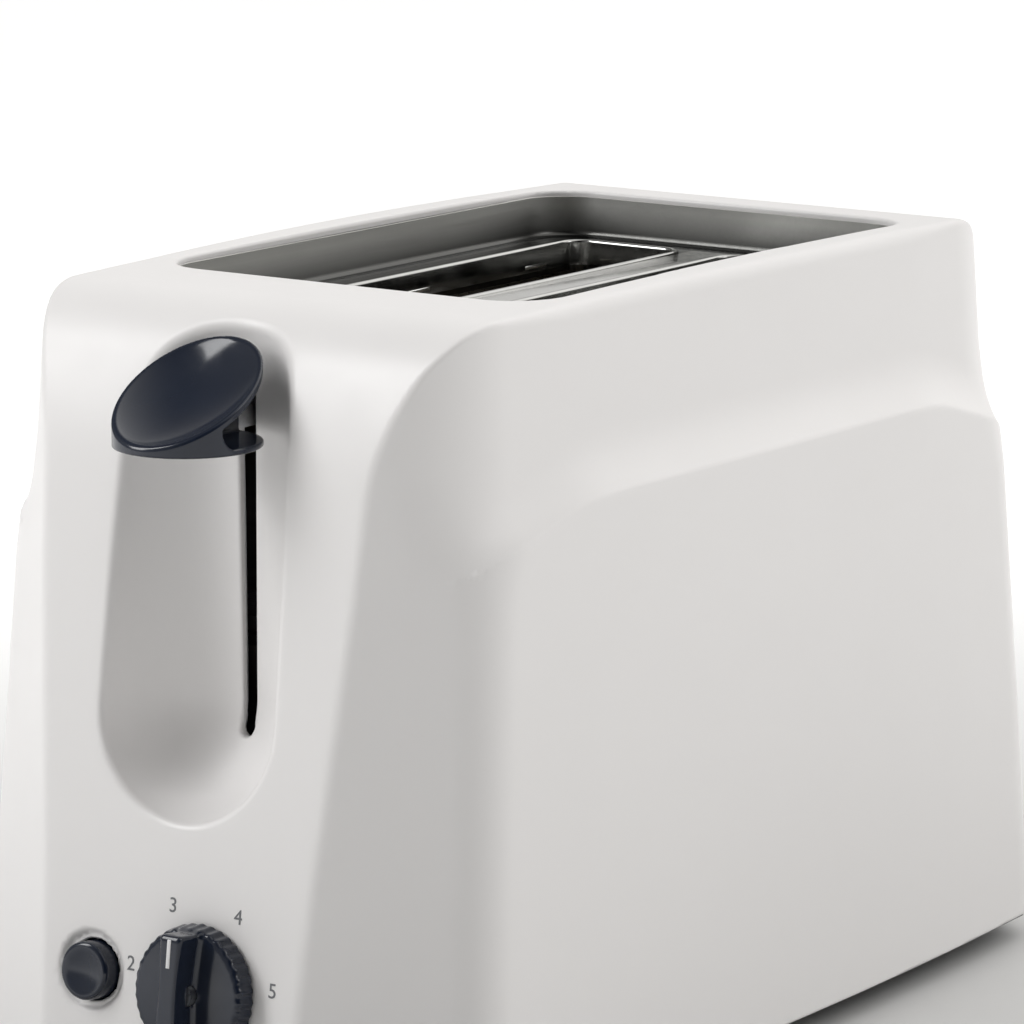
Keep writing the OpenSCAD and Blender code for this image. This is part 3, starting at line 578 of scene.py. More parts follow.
def loop_ring(hx, hy, r, section, centre, steps=10):
    """Solid ring: a closed section of (outward, height) points carried round a rounded rectangle."""
    verts, faces = [], []
    for outward, height in section:
        for x, y in corner_loop(hx + outward, hy + outward, max(r + outward, 0.05), steps):
            verts.append((x + centre[0], y + centre[1], height))
    n = 4 * (steps + 1)
    rows = len(section)
    for j in range(rows):
        for i in range(n):
            a, b = j * n + i, j * n + (i + 1) % n
            c, d = (j + 1) % rows * n + (i + 1) % n, (j + 1) % rows * n + i
            faces.append((a, b, c, d))
    return verts, faces


def lathe(profile, segments=64):
    """Solid of revolution about z from (radius, height) points that start and end on the axis."""
    verts, faces = [], []
    for radius, height in profile:
        if radius < 1e-6:
            verts.append([(0, 0, height)])
        else:
            ring = [2 * math.pi * i / segments for i in range(segments)]
            verts.append([(radius * math.cos(a), radius * math.sin(a), height) for a in ring])
    starts, flat = [], []
    for ring in verts:
        starts.append(len(flat))
        flat.extend(ring)
    for j in range(len(verts) - 1):
        step, next_step = (1 if len(ring) > 1 else 0 for ring in verts[j:j + 2])
        for i in range(segments):
            k = (i + 1) % segments
            a = [starts[j] + i * step, starts[j] + k * step]
            b = [starts[j + 1] + k * next_step, starts[j + 1] + i * next_step]
            face = list(dict.fromkeys(a + b))
            if len(face) > 2:
                faces.append(tuple(face))
    return flat, faces


def tube(path, radius, sides=12):
    """Round wire along a path of points, with domed ends."""
    points = [Vector(p) for p in path]
    verts, faces = [], []
    tangents = []
    for i in range(len(points)):
        tangents.append((points[min(i + 1, len(points) - 1)] - points[max(i - 1, 0)]).normalized())
    side = tangents[0].orthogonal().normalized()
    rows = []
    for i, (point, tangent) in enumerate(zip(points, tangents)):
        side = (side - tangent * side.dot(tangent)).normalized()
        up = tangent.cross(side)
        rings = [(0.0, 1.0)]
        if i == 0:
            rings = [(-0.75, 0.5), (0.0, 1.0)]
        if i == len(points) - 1:
            rings = [(0.0, 1.0), (0.75, 0.5)]
        for along, share in rings:
            row = []
            for k in range(sides):
                a = 2 * math.pi * k / sides
                offset = (side * math.cos(a) + up * math.sin(a)) * radius * share
                row.append(len(verts))
                verts.append(tuple(point + tangent * along * radius + offset))
            rows.append(row)
    for one, two in zip(rows, rows[1:]):
        for k in range(sides):
            faces.append((one[k], one[(k + 1) % sides], two[(k + 1) % sides], two[k]))
    faces.append(tuple(reversed(rows[0])))
    faces.append(tuple(rows[-1]))
    return verts, faces


def bent(path, r, steps=5):
    """The same path with its inner corners rounded to radius r."""
    points = [Vector(p) for p in path]
    result = [tuple(points[0])]
    for before, corner, after in zip(points, points[1:], points[2:]):
        one, two = (before - corner).normalized(), (after - corner).normalized()
        start, end = corner + one * r, corner + two * r
        for i in range(steps + 1):
            t = i / steps
            result.append(tuple(start * (1 - t) ** 2 + corner * 2 * t * (1 - t) + end * t**2))
    result.append(tuple(points[-1]))
    return result


def pressed_plate(outer, holes, low, high):
    """Flat plate with holes, from loops of (x, y) points."""
    shape = bmesh.new()
    edges = []
    for loop in [outer, *holes]:
        verts = [shape.verts.new((x, y, high)) for x, y in loop]
        for a, b in zip(verts, verts[1:] + verts[:1]):
            edges.append(shape.edges.new((a, b)))
    bmesh.ops.triangle_fill(shape, use_beauty=True, edges=edges)
    made = bmesh.ops.extrude_face_region(shape, geom=shape.faces[:])
    bottom = [v for v in made["geom"] if isinstance(v, bmesh.types.BMVert)]
    bmesh.ops.translate(shape, verts=bottom, vec=(0, 0, low - high))
    shape.verts.index_update()
    result = [tuple(v.co) for v in shape.verts], [tuple(v.index for v in f.verts) for f in shape.faces]
    shape.free()
    return result


def soft_box(low, high, r, segments=3):
    """Box with rounded edges."""
    shape = bmesh.new()
    bmesh.ops.create_cube(shape, size=1)
    middle, size = (Vector(low) + Vector(high)) / 2, Vector(high) - Vector(low)
    for v in shape.verts:
        v.co = Vector(a * b for a, b in zip(v.co, size)) + middle
    bmesh.ops.bevel(shape, geom=shape.edges[:], offset=r, segments=segments, profile=0.5, affect="EDGES")
    shape.verts.index_update()
    result = [tuple(v.co) for v in shape.verts], [tuple(v.index for v in f.verts) for f in shape.faces]
    shape.free()
    return result


def placed(place, points, normals):
    """Points and their normals carried into a frame."""
    turn = place.to_3x3()
    return (np.array([place @ Vector(p) for p in points]),
            np.array([turn @ Vector(n) for n in normals]))


def end_frame(x, rear=False, z=CONTROL_Z):
    """Local frame on an end face: x across, y up the face, z straight out of it."""
    place = Matrix.Translation((x, end_y(z) * (1 if rear else -1), z))
    if rear:
        return place @ Matrix.Rotation(END_LEAN - math.pi / 2, 4, "X")
    return place @ Matrix.Rotation(math.pi / 2 - END_LEAN, 4, "X")


# -------- the moulding

END_TURN_Z = 142.3
END_R1, END_A1 = 63, math.radians(30)
END_R2, END_A2 = 24, math.radians(88.5)
SHOULDER_Z, SHOULDER_R = 137.6, 1.8
STEP_A, STEP_R = math.radians(46), 18.5
UPPER_LEAN = math.radians(3)
DIP_Y, DIP_EASE, DIP_SLOPE = 72, 8, 0.3
RIDGE_AT_Z, RIDGE_SOFT = [118, 146], [6.5, 13]
CREASE_AT_Y, CREASE_SOFT = [70, 104], [3.6, 0.9]

FACET_Z, FACET_TOP_Z = 59, 120
FACET_TURN, FACET_TOP_TURN = 57.5, 54
FACET_X, FACET_X_SLOPE = 50.1, 0.0413
FACET_Y, FACET_Y_SLOPE = 124.15, 0.113

FACE_OUT = turned(END_LEAN)
TURN_1 = np.array([end_y(END_TURN_Z), END_TURN_Z]) - END_R1 * FACE_OUT
TURN_2 = TURN_1 + (END_R1 - END_R2) * turned(END_A1)
CROWN_R = END_R2 + TURN_2[0] / math.cos(END_A2)
CROWN_MID_Z = TOP_Z - CROWN_R


def measured(px, pz, direction):
    """How far a point lies along a direction."""
    return px * direction[0] + pz * direction[1]


def end_field(y, z):
    """Both end faces and the crown: leaning face, slow turn, tight turn, crown."""
    y1, z1, y2, z2 = y - TURN_1[0], z - TURN_1[1], y - TURN_2[0], z - TURN_2[1]
    flat = measured(y1, z1, FACE_OUT) - END_R1
    slow = np.hypot(y1, z1) - END_R1
    tight = np.hypot(y2, z2) - END_R2
    crown = np.hypot(y, z - CROWN_MID_Z) - CROWN_R
    before_slow = measured(y1, z1, turned(END_LEAN + math.pi / 2)) < 0
    before_tight = measured(y1, z1, turned(END_A1 + math.pi / 2)) < 0
    before_crown = measured(y2, z2, turned(END_A2 + math.pi / 2)) < 0
    return np.where(before_slow, flat, np.where(before_tight, slow, np.where(before_crown, tight, crown)))


def side_field(w, z):
    """A long side: panel, shoulder edge, concave step, upper wall."""
    panel = turned(SIDE_LEAN)
    p1 = np.array([BASE_HALF_WIDTH - (SHOULDER_Z - SKIRT_Z) * math.tan(SIDE_LEAN), SHOULDER_Z])
    c1 = p1 - SHOULDER_R * panel
    c2 = c1 + (SHOULDER_R + STEP_R) * turned(STEP_A)
    foot = c2 - STEP_R * turned(UPPER_LEAN)
    w1, z1, w2, z2 = w - c1[0], z - c1[1], w - c2[0], z - c2[1]
    flat = measured(w1, z1, panel) - SHOULDER_R
    edge = np.hypot(w1, z1) - SHOULDER_R
    hollow = STEP_R - np.hypot(w2, z2)
    upper = measured(w - foot[0], z - foot[1], turned(UPPER_LEAN))
    before_edge = measured(w1, z1, turned(SIDE_LEAN + math.pi / 2)) < 0
    before_hollow = measured(w1, z1, turned(STEP_A + math.pi / 2)) < 0
    before_upper = measured(w2, z2, turned(UPPER_LEAN + math.pi / 2)) < 0
    return np.where(before_edge, flat, np.where(before_hollow, edge, np.where(before_upper, hollow, upper)))


def corner_field(x, y, z):
    """The facet across each corner, turning a little as it rises."""
    angle = np.radians(np.interp(z, [FACET_Z, FACET_TOP_Z], [FACET_TURN, FACET_TOP_TURN]))
    middle_x = FACET_X + FACET_X_SLOPE * (z - FACET_Z)
    middle_y = FACET_Y - FACET_Y_SLOPE * (z - FACET_Z)
    return (x - middle_x) * np.cos(angle) + (y - middle_y) * np.sin(angle)


def outer_field(x, y, z):
    """The moulding's outside: bowed sides whose shoulder dips to the ends, facets and end faces."""
    ax, ay = np.abs(x), np.abs(y)
    past = ay - DIP_Y
    dip = DIP_SLOPE * (past + np.hypot(past, DIP_EASE)) / 2
    sides = side_field(ax + y * y / (2 * BOW_R), z + dip)
    flank = smooth_max(sides, corner_field(ax, ay, z), np.interp(z, RIDGE_AT_Z, RIDGE_SOFT))
    return smooth_max(end_field(ay, z), flank, np.interp(ay, CREASE_AT_Y, CREASE_SOFT))


def scoop_field(x, y, z):
    """The finger recess: an upright round channel with a ball foot."""
    below = np.minimum(z - SCOOP_BALL_Z, 0)
    return np.sqrt(x * x + (y - SCOOP_Y) ** 2 + below**2) - SCOOP_R


def opening_field(x, y):
    """The top opening, seen from above."""
    dx = np.abs(x) - (OPEN_X - OPEN_R)
    dy = np.abs(y - OPEN_MID_Y) - (OPEN_Y - OPEN_R)
    outside = np.hypot(np.maximum(dx, 0), np.maximum(dy, 0))
    return outside + np.minimum(np.maximum(dx, dy), 0) - OPEN_R


def lever_slot_field(x, y, z):
    """The slot in the recess floor, widening upwards from a round foot."""
    heights, halves = [LEVER_SLOT_Z, LEVER_SLOT_WIDEST_Z], [LEVER_SLOT_LOW_W / 2, LEVER_SLOT_TOP_W / 2]
    foot = np.minimum(z - LEVER_SLOT_Z - LEVER_SLOT_LOW_W / 2, 0)
    profile = np.hypot(x, foot) - np.interp(z, heights, halves)
    depth = np.abs(y - LEVER_SLOT_Y) - LEVER_SLOT_HALF_Y
    return np.maximum(np.maximum(profile, depth), z - LEVER_SLOT_TOP_Z)


def along_normal(x, y, z, centre_x, height, rear):
    """Distance from an axis square to an end face, and height out of that face."""
    centre = end_y(height) * (1 if rear else -1)
    n = np.array([0, math.cos(END_LEAN) * (1 if rear else -1), math.sin(END_LEAN)])
    px, py, pz = x - centre_x, y - centre, z - height
    depth = py * n[1] + pz * n[2]
    squared = px**2 + py**2 + pz**2 - depth**2
    return np.sqrt(np.maximum(squared, 0)), depth


HOLE_DEPTH = 8


def bored(solid, x, y, z, centre_x, height, rear, hole_r):
    """The solid with a round hole through an end wall."""
    radius, depth = along_normal(x, y, z, centre_x, height, rear)
    return smooth_max(solid, -np.maximum(radius - hole_r, -depth - HOLE_DEPTH), 0.3)


GLAND_HOLE_R, DIAL_HOLE_R, BUTTON_GAP = 6.1, 4.5, 0.4
WELL_RIM, WELL_FLARE, WELL_DEPTH = 2.6, 0.9, 1.1
SCOOP_EDGE, OPENING_EDGE = 1.7, 1.0
OPENING_DROP = 12
NOTCH_LOW, NOTCH_HIGH, NOTCH_R = (-38.6, 100, -20), (38.6, 170, 17.4), 2


def shell_field(x, y, z):
    """The hollow moulding with its recess, opening, lever slot, tray notch and holes."""
    outer = outer_field(x, y, z)
    scoop = scoop_field(x, y, z)
    skin = smooth_max(outer, -scoop, SCOOP_EDGE)
    skin = smooth_max(skin, -np.maximum(opening_field(x, y), DECK_Z - OPENING_DROP - z), OPENING_EDGE)
    radius, depth = along_normal(x, y, z, BUTTON_X, CONTROL_Z, False)
    well = np.maximum(radius - (BUTTON_R + WELL_RIM) - depth * WELL_FLARE, -depth - WELL_DEPTH)
    skin = smooth_max(skin, -well, 0.7)
    inner = np.maximum(outer + WALL, WALL - scoop)
    solid = smooth_max(skin, -inner, 0.35)
    solid = smooth_max(solid, -lever_slot_field(x, y, z), 0.5)
    solid = smooth_max(solid, SKIRT_Z - z, 0.6)
    solid = smooth_max(solid, -rounded_box_field(x, y, z, NOTCH_LOW, NOTCH_HIGH, NOTCH_R), 0.5)
    solid = bored(solid, x, y, z, GLAND_X, GLAND_Z, True, GLAND_HOLE_R)
    solid = bored(solid, x, y, z, DIAL_X, CONTROL_Z, False, DIAL_HOLE_R)
    return bored(solid, x, y, z, BUTTON_X, CONTROL_Z, False, BUTTON_R + BUTTON_GAP)


# Grid planes are close where the moulding turns, and wide where it is flat.
half_xs = ((8, 28, 1.0), (28, 42, 1.5), (42, 62, 1.0), (62, 76, 1.2))
shell_xs = planes(*[(-b, -a, s) for a, b, s in reversed(half_xs)], (-8, 8, 0.7), *half_xs)
shell_ys = planes((-142, -90, 0.9), (-90, -52, 1.2), (-52, 64, 3), (64, 86, 1.2), (86, 142, 1.2))
shell_zs = planes((4.4, 8.8, 0.55), (8.8, 15.8, 1.75), (15.8, 19, 0.8), (19, 24, 1.7), (24, 46, 1.0),
                  (46, 66, 2.5), (66, 95, 0.9), (95, 120, 2.5), (120, 130, 1.5), (130, 160, 1.0),
                  (160, 181, 0.7))
points, quads, normals = sculpt(shell_field, shell_xs, shell_ys, shell_zs)
build("moulded_body", points, quads, WHITE, "body", ["outer_shell"], "white_body", normals)


# -------- the lever knob

knob_low, knob_high = corners("lever_knob")
KNOB_R = (knob_high.x - knob_low.x) / 2
KNOB_Y = (knob_high.y + knob_low.y) / 2
KNOB_Z = knob_low.z
KNOB_FRONT_H = 1.8
KNOB_RISE = math.radians(31.6)
DISH_DEPTH, RIM_W = 3.1, 1.1
PLATE_T, FOOT_T = 1.7, 1.3
MOUTH_R, MOUTH_Y, MOUTH_Z = 4.0, -2.4, 5.0
BOSS_HALF_X, BOSS_INSET = 2.4, 1.5
STEM_LOW, STEM_HIGH = (-1.1, -1.2, 1.2), (1.1, 40, 6.6)
ARM_LOW, ARM_HIGH = (-1.1, 10.2, 1.2), (1.1, 40, 11.1)
SLOT_CORNER_R = 0.2
DISH_POWER = 0.85


def knob_field(x, y, z):
    """A dished plate on a round foot, joined at the front and by a boss round the stem."""
    y, z = y - KNOB_Y, z - KNOB_Z
    radius = np.hypot(x, y)
    above = (z - KNOB_FRONT_H) * math.cos(KNOB_RISE) - (y + KNOB_R) * math.sin(KNOB_RISE)
    share = np.clip(radius / (KNOB_R - RIM_W), 0, 1)
    face = above + DISH_DEPTH * (1 - share**2) ** DISH_POWER
    solid = smooth_max(radius - KNOB_R, face, 0.55)
    solid = smooth_max(solid, -z, 0.5)
    round_mouth = np.hypot(y - MOUTH_Y, z - MOUTH_Z) - MOUTH_R
    gap = np.maximum(np.maximum(MOUTH_Y - y, FOOT_T - z), face + PLATE_T)
    opening = np.maximum(np.maximum(smooth_min(round_mouth, gap, 1.0), FOOT_T - z), face + PLATE_T)
    boss = np.maximum(np.abs(x) - BOSS_HALF_X, y - KNOB_R + BOSS_INSET)
    solid = smooth_max(solid, -smooth_max(opening, -boss, 0.6), 0.5)
    stem = rounded_box_field(x, y, z, STEM_LOW, STEM_HIGH, SLOT_CORNER_R)
    arm = rounded_box_field(x, y, z, ARM_LOW, ARM_HIGH, SLOT_CORNER_R)
    return smooth_max(solid, -np.minimum(stem, arm), 0.2)


KNOB_STEP = 0.36
points, quads, normals = sculpt(
    knob_field,
    planes((-KNOB_R - 1, KNOB_R + 1, KNOB_STEP)),
    planes((KNOB_Y - KNOB_R - 1, KNOB_Y + KNOB_R + 1, KNOB_STEP)),
    planes((KNOB_Z - 1, knob_high.z + 1.5, KNOB_STEP)),
)
build("knob_moulding", points, quads, NAVY, "lever_carriage", ["lever_knob"], "navy_plastic", normals)


# -------- deck, lips and bridge

PAN_INSET, PAN_BELOW_TOP, PAN_FILLET = 0.25, 1.5, 1.6
SHEET_T = 0.8
MOUTH_MARGIN, FLOOR_MARGIN = 1.0, 2
COLLAR_OUT, COLLAR_IN, COLLAR_DROP = 1.1, 0.3, 6.5
fillet = []
for degrees in range(0, 91, 15):
    a = math.radians(degrees)
    fillet.append((-PAN_INSET - PAN_FILLET * (1 - math.cos(a)), DECK_Z + PAN_FILLET * (1 - math.sin(a))))
pan_top = TOP_Z - PAN_BELOW_TOP
pan_wall = [(-0.1, pan_top - 0.3), (-0.15, pan_top), (-PAN_INSET, pan_top - 0.1), *fillet,
            (-5, DECK_Z), (-5, DECK_Z - SHEET_T), (-0.1, DECK_Z - SHEET_T)]
mouth = corner_loop(SLOT_HALF_X + MOUTH_MARGIN, SLOT_HALF_Y + MOUTH_MARGIN, SLOT_R + MOUTH_MARGIN)
mouths = [[(x + side * SLOT_X, y + OPEN_MID_Y) for x, y in mouth] for side in (-1, 1)]
floor_loop = corner_loop(OPEN_X - FLOOR_MARGIN, OPEN_Y - FLOOR_MARGIN, OPEN_R - FLOOR_MARGIN)
floor_edge = [(x, y + OPEN_MID_Y) for x, y in floor_loop]
collar = [(COLLAR_OUT, DECK_Z - 0.1), (COLLAR_IN, DECK_Z - 0.1),
          (COLLAR_IN, DECK_Z - COLLAR_DROP), (COLLAR_OUT, DECK_Z - COLLAR_DROP)]
wall_points, wall_faces = loop_ring(OPEN_X, OPEN_Y, OPEN_R, pan_wall, (0, OPEN_MID_Y), 14)
for i, (x, y, z) in enumerate(wall_points):
    if z > DECK_Z + PAN_FILLET + 0.1:
        wall_points[i] = (x, y, z - TOP_Z + CROWN_MID_Z + math.sqrt(CROWN_R**2 - y * y))
deck_parts = [
    (wall_points, wall_faces),
    pressed_plate(floor_edge, mouths, DECK_Z - SHEET_T, DECK_Z - 0.02),
    *[loop_ring(SLOT_HALF_X, SLOT_HALF_Y, SLOT_R, collar, (side * SLOT_X, OPEN_MID_Y)) for side in (-1, 1)],
]
build("sunken_deck", *joined(deck_parts), DECK, "body", ["slot_deck"], "deck_steel", sharp=35)

BRIDGE_HALF_X, BRIDGE_HALF_Y, BRIDGE_H = 5.3, 70.0, 0.6
build("centre_bridge",
      *soft_box((-BRIDGE_HALF_X, OPEN_MID_Y - BRIDGE_HALF_Y, DECK_Z - 0.1),
                (BRIDGE_HALF_X, OPEN_MID_Y + BRIDGE_HALF_Y, DECK_Z + BRIDGE_H), 0.3),
      BRIDGE, "body", slot="bright_trim", sharp=40)

LIP_CREST, LIP_R, LIP_MIDDLE, LIP_SKIRT = 1.1, 0.7, 0.75, 5


def lip_section():
    """Bead rolled over the mouth's edge: up from inside the slot, over the crest, down to the deck."""
    middle = (LIP_MIDDLE, DECK_Z + LIP_CREST - LIP_R)
    outer = []
    for degrees in range(180, -16, -15):
        a = math.radians(degrees)
        outer.append((middle[0] + LIP_R * math.cos(a), middle[1] + LIP_R * math.sin(a)))
    return [(-0.25, DECK_Z - LIP_SKIRT), *outer, (1.65, DECK_Z - 0.02), (0.1, DECK_Z - 0.02),
            (0.1, DECK_Z - LIP_SKIRT)]


for side, label in ((-1, "left"), (1, "right")):
    ring = loop_ring(SLOT_HALF_X, SLOT_HALF_Y, SLOT_R, lip_section(), (side * SLOT_X, OPEN_MID_Y), 12)
    build(f"{label}_rolled_lip", *ring, SHADED_LIP_METAL, "body", [f"{label}_slot_lip"], "bright_trim", sharp=50)


TAB_LENGTH, TAB_DROP, TAB_TALL = 9, 3.2, 1.1
TAB_OUT, TAB_IN = 1.0, 0.25
TAB_STARTS = (-44, 4, 52)
tab_top = DECK_Z - TAB_DROP
tabs = []
for side in (-1, 1):
    wall = side * (SLOT_X + SLOT_HALF_X)
    left, right = sorted((wall + side * TAB_OUT, wall - side * TAB_IN))
    for y in TAB_STARTS:
        tabs.append(soft_box((left, y, tab_top - TAB_TALL), (right, y + TAB_LENGTH, tab_top), 0.3, 2))
build("slot_guide_tabs", *joined(tabs), CHROME, "body", slot="bright_trim", sharp=40)


# -------- bread guards

PIVOT_Z = 32
GUARD_LOW_Y, GUARD_HIGH_Y = -59, 71
RAIL_Z, RAIL_R = 157, 0.9
MID_RAIL_Z, MID_RAIL_R = 95, 0.7
UPRIGHTS, UPRIGHT_Y, UPRIGHT_PITCH, UPRIGHT_R = 10, -57, 14, 0.8
LEAN_Z, HOOK_IN, HOOK_LENGTH = 150, 0.75, 3
for node in ("left_outer_guard", "left_inner_guard", "right_inner_guard", "right_outer_guard"):
    low, high = corners(node)
    x = (low.x + high.x) / 2
    inward = 1 if node in ("left_outer_guard", "right_inner_guard") else -1
    wires = [tube([(x, low.y, PIVOT_Z), (x, high.y, PIVOT_Z)], 1.2)]
    wires.append(tube([(x, GUARD_LOW_Y, RAIL_Z), (x, GUARD_HIGH_Y, RAIL_Z)], RAIL_R))
    wires.append(tube([(x, GUARD_LOW_Y, MID_RAIL_Z), (x, GUARD_HIGH_Y, MID_RAIL_Z)], MID_RAIL_R))
    for i in range(UPRIGHTS):
        y = UPRIGHT_Y + UPRIGHT_PITCH * i
        hook_x = x - HOOK_IN * inward
        path = [(x, y, PIVOT_Z + 0.4), (x, y, LEAN_Z), (hook_x, y, RAIL_Z + 0.6),
                (hook_x, y + HOOK_LENGTH, RAIL_Z + 0.7)]
        wires.append(tube(bent(path, 1.0), UPRIGHT_R, 10))
    build(f"{node}_wires", *joined(wires), WIRE, f"{node}_pivot", [node], "guard_wire", sharp=60)


# -------- lift spring

spring_low, spring_high = corners("lift_spring")
SPRING_R, SPRING_WIRE_R, SPRING_TURNS, SPRING_STEPS = 4.1, 0.45, 12, 28
spring_middle_y = (spring_low.y + spring_high.y) / 2
spring_foot, spring_head = spring_low.z + SPRING_WIRE_R, spring_high.z - SPRING_WIRE_R
helix = []
for i in range(SPRING_TURNS * SPRING_STEPS + 1):
    t = i / (SPRING_TURNS * SPRING_STEPS)
    a = 2 * math.pi * SPRING_TURNS * t
    helix.append((SPRING_R * math.cos(a), spring_middle_y + SPRING_R * math.sin(a),
                  spring_foot + (spring_head - spring_foot) * t))
spring = build("lift_spring_coil", *tube(helix, SPRING_WIRE_R, 8), SPRING_STEEL, "body",
               ["lift_spring"], "spring_steel")
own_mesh(spring)


# -------- controls

DIAL_OUT = 12
DIAL_SKIRT_H, DIAL_FLUTES, FLUTE_DEPTH = 5.4, 36, 0.16
GRIP_HALF_X, GRIP_HALF_Y, GRIP_WAIST = 3.1, 13.3, 2.2
SHAFT_BORE_R, SHAFT_BORE_DEPTH = 2.99, 7.4


def dial_field(x, y, z):
    """A fluted skirt with a waisted grip across it and a bore for the shaft."""
    radius = np.hypot(x, y)
    angle = np.arctan2(y, x)
    flutes = FLUTE_DEPTH * np.cos(DIAL_FLUTES * angle) * np.clip((radius - 12.5) / 2, 0, 1)
    rim = radius - DIAL_R + 0.25 + (z - 0.5) * 0.16 - flutes
    skirt = smooth_max(rim, z - DIAL_SKIRT_H + radius * 0.03, 1.2)
    skirt = smooth_max(skirt, 0.5 - z, 0.4)
    grip = rounded_box_field(x, y, z, (-GRIP_HALF_X, -GRIP_HALF_Y, 1),
                             (GRIP_HALF_X, GRIP_HALF_Y, DIAL_OUT - 0.1), 1.2)
    grip = smooth_max(grip, np.abs(x) - GRIP_WAIST - 0.0045 * y * y, 0.6)
    solid = smooth_min(skirt, grip, 1.4)
    bore = np.maximum(radius - SHAFT_BORE_R, z - SHAFT_BORE_DEPTH)
    return smooth_max(solid, -bore, 0.2)


across = planes((-16, 16, 0.45))
points, quads, normals = sculpt(dial_field, across, across, planes((-0.5, 13.5, 0.45)))
dial_place = end_frame(DIAL_X)
points, normals = placed(dial_place, points, normals)
build("dial_moulding", points, quads, NAVY, "dial", ["browning_dial"], "navy_plastic", normals)
pointer = moved(soft_box((-0.5, 6.2, DIAL_OUT - 0.5), (0.5, 12.4, DIAL_OUT + 0.02), 0.15, 2), dial_place)
build("dial_pointer", *pointer, PALE_MARK, "dial", slot="navy_plastic", sharp=40)

COLLAR_R, CROWN_Z = BUTTON_R + 1.6, 1.9
TOP_R = BUTTON_R - 1.0
button_profile = [(0, -7), (BUTTON_R - 0.4, -7), (BUTTON_R, -6.6), (BUTTON_R, -5.2), (COLLAR_R, -5.2),
                  (COLLAR_R, -3.8), (BUTTON_R, -3.8), (BUTTON_R, CROWN_Z)]
for degrees in range(15, 91, 15):
    a = math.radians(degrees)
    button_profile.append((TOP_R + math.cos(a), CROWN_Z + math.sin(a)))
for t in (0.25, 0.5, 0.75, 1.0):
    button_profile.append((TOP_R - t * TOP_R, CROWN_Z + 1.0 - 0.7 * math.sin(t * math.pi / 2)))
build("button_cap", *moved(lathe(button_profile), end_frame(BUTTON_X)), NAVY, "button", ["stop_button"],
      "navy_plastic", sharp=50)


def printed(name, text, size, local, place):
    """Thin raised print on an end face, as a mesh."""
    curve = bpy.data.curves.new(name, "FONT")
    curve.body = text
    curve.size = size * MM
    curve.extrude = 0.05 * MM
    curve.align_x, curve.align_y = "CENTER", "CENTER"
    holder = bpy.data.objects.new(name + "_curve", curve)
    bpy.context.scene.collection.objects.link(holder)
    bpy.context.view_layer.update()
    mesh = bpy.data.meshes.new_from_object(holder)
    bpy.data.objects.remove(holder)
    points = [place @ (Vector(local) + v.co / MM) for v in mesh.vertices]
    faces = [tuple(p.vertices) for p in mesh.polygons]
    bpy.data.meshes.remove(mesh)
    build(name, points, faces, PRINT, "body", slot="dark_base", sharp=30)


MARK_R, MARK_SIZE, MARK_COUNT = 19.4, 4.6, 6
MARK_START, MARK_STEP = 135, 54
for i in range(MARK_COUNT):
    a = math.radians(MARK_START - MARK_STEP * i)
    printed(f"dial_number_{i + 1}", str(i + 1), MARK_SIZE,
            (-MARK_R * math.sin(a), MARK_R * math.cos(a), 0.03), end_frame(DIAL_X))


# -------- feet, gland and tray handle

FOOT_R = 8
foot_profile = [(0, 0), (6.6, 0), (7.2, 0.25), (7.8, 0.9), (FOOT_R, 1.8), (7.7, 4.4), (7.3, 4.8),
                (2.9, 4.8), (2.9, 8), (4, 8), (3.4, 9.1), (0, 9.2)]
foot_high = corners("rubber_feet")[1]
foot_x, foot_y = foot_high.x - FOOT_R, foot_high.y - FOOT_R
feet = [moved(lathe(foot_profile, 40), Matrix.Translation((sx * foot_x, sy * foot_y, 0)))
        for sx in (-1, 1) for sy in (-1, 1)]
build("moulded_feet", *joined(feet), FOOT, "body", ["rubber_feet"], "foot_rubber", sharp=40)

GLAND_R, GLAND_BORE, GLAND_LEN, FLANGE = 6, 3.5, 16, 2.2


def gland_field(x, y, z):
    """A bush with a rounded flange and a flared bore."""
    radius = np.hypot(x, y)
    barrel = smooth_max(radius - GLAND_R, FLANGE - GLAND_LEN - z, 0.5)
    barrel = smooth_max(barrel, z - 1, 0.3)
    flange = smooth_max(radius - GLAND_R - 2.35 + np.maximum(z - 0.6, 0) * 0.5, z - FLANGE, 1.0)
    flange = smooth_max(flange, -z, 0.3)
    solid = np.minimum(barrel, flange)
    bore = radius - GLAND_BORE - 0.9 * np.maximum(z - 1.2, 0)
    return smooth_max(solid, -bore, 0.3)


across = planes((-9.4, 9.4, 0.5))
points, quads, normals = sculpt(gland_field, across, across, planes((-15, 3.2, 0.5)))
points, normals = placed(end_frame(GLAND_X, rear=True, z=GLAND_Z), points, normals)
build("outlet_bush", points, quads, DARK_BASE, "body", ["cord_gland"], "dark_base", normals)

handle_low, handle_high = corners("tray_handle")
PULL_HALF_X, PULL_Y, PULL_LOW_Z, PULL_TOP_Z = 20, 132, 9.7, 13.3
HOLLOW_R, HOLLOW_IN, HOLLOW_Z, HOLLOW_HALF_X = 3.6, 5.6, 16.2, 16.5


def handle_field(x, y, z):
    """A cover that follows the rear face, with a finger tab hollowed on top."""
    front = smooth_max(outer_field(x, y, z) + 0.25, np.abs(x) - handle_high.x, 0.8)
    front = smooth_max(front, handle_low.y - y, 0.5)
    front = smooth_max(front, np.maximum(handle_low.z - z, z - handle_high.z), 0.8)
    tab = rounded_box_field(x, y, z, (-PULL_HALF_X, PULL_Y, PULL_LOW_Z),
                            (PULL_HALF_X, handle_high.y, PULL_TOP_Z), 1.5)
    grip = np.hypot(y - (handle_high.y - HOLLOW_IN), z - HOLLOW_Z) - HOLLOW_R
    tab = smooth_max(tab, -np.maximum(grip, np.abs(x) - HOLLOW_HALF_X), 0.8)
    return smooth_min(front, tab, 1.2)


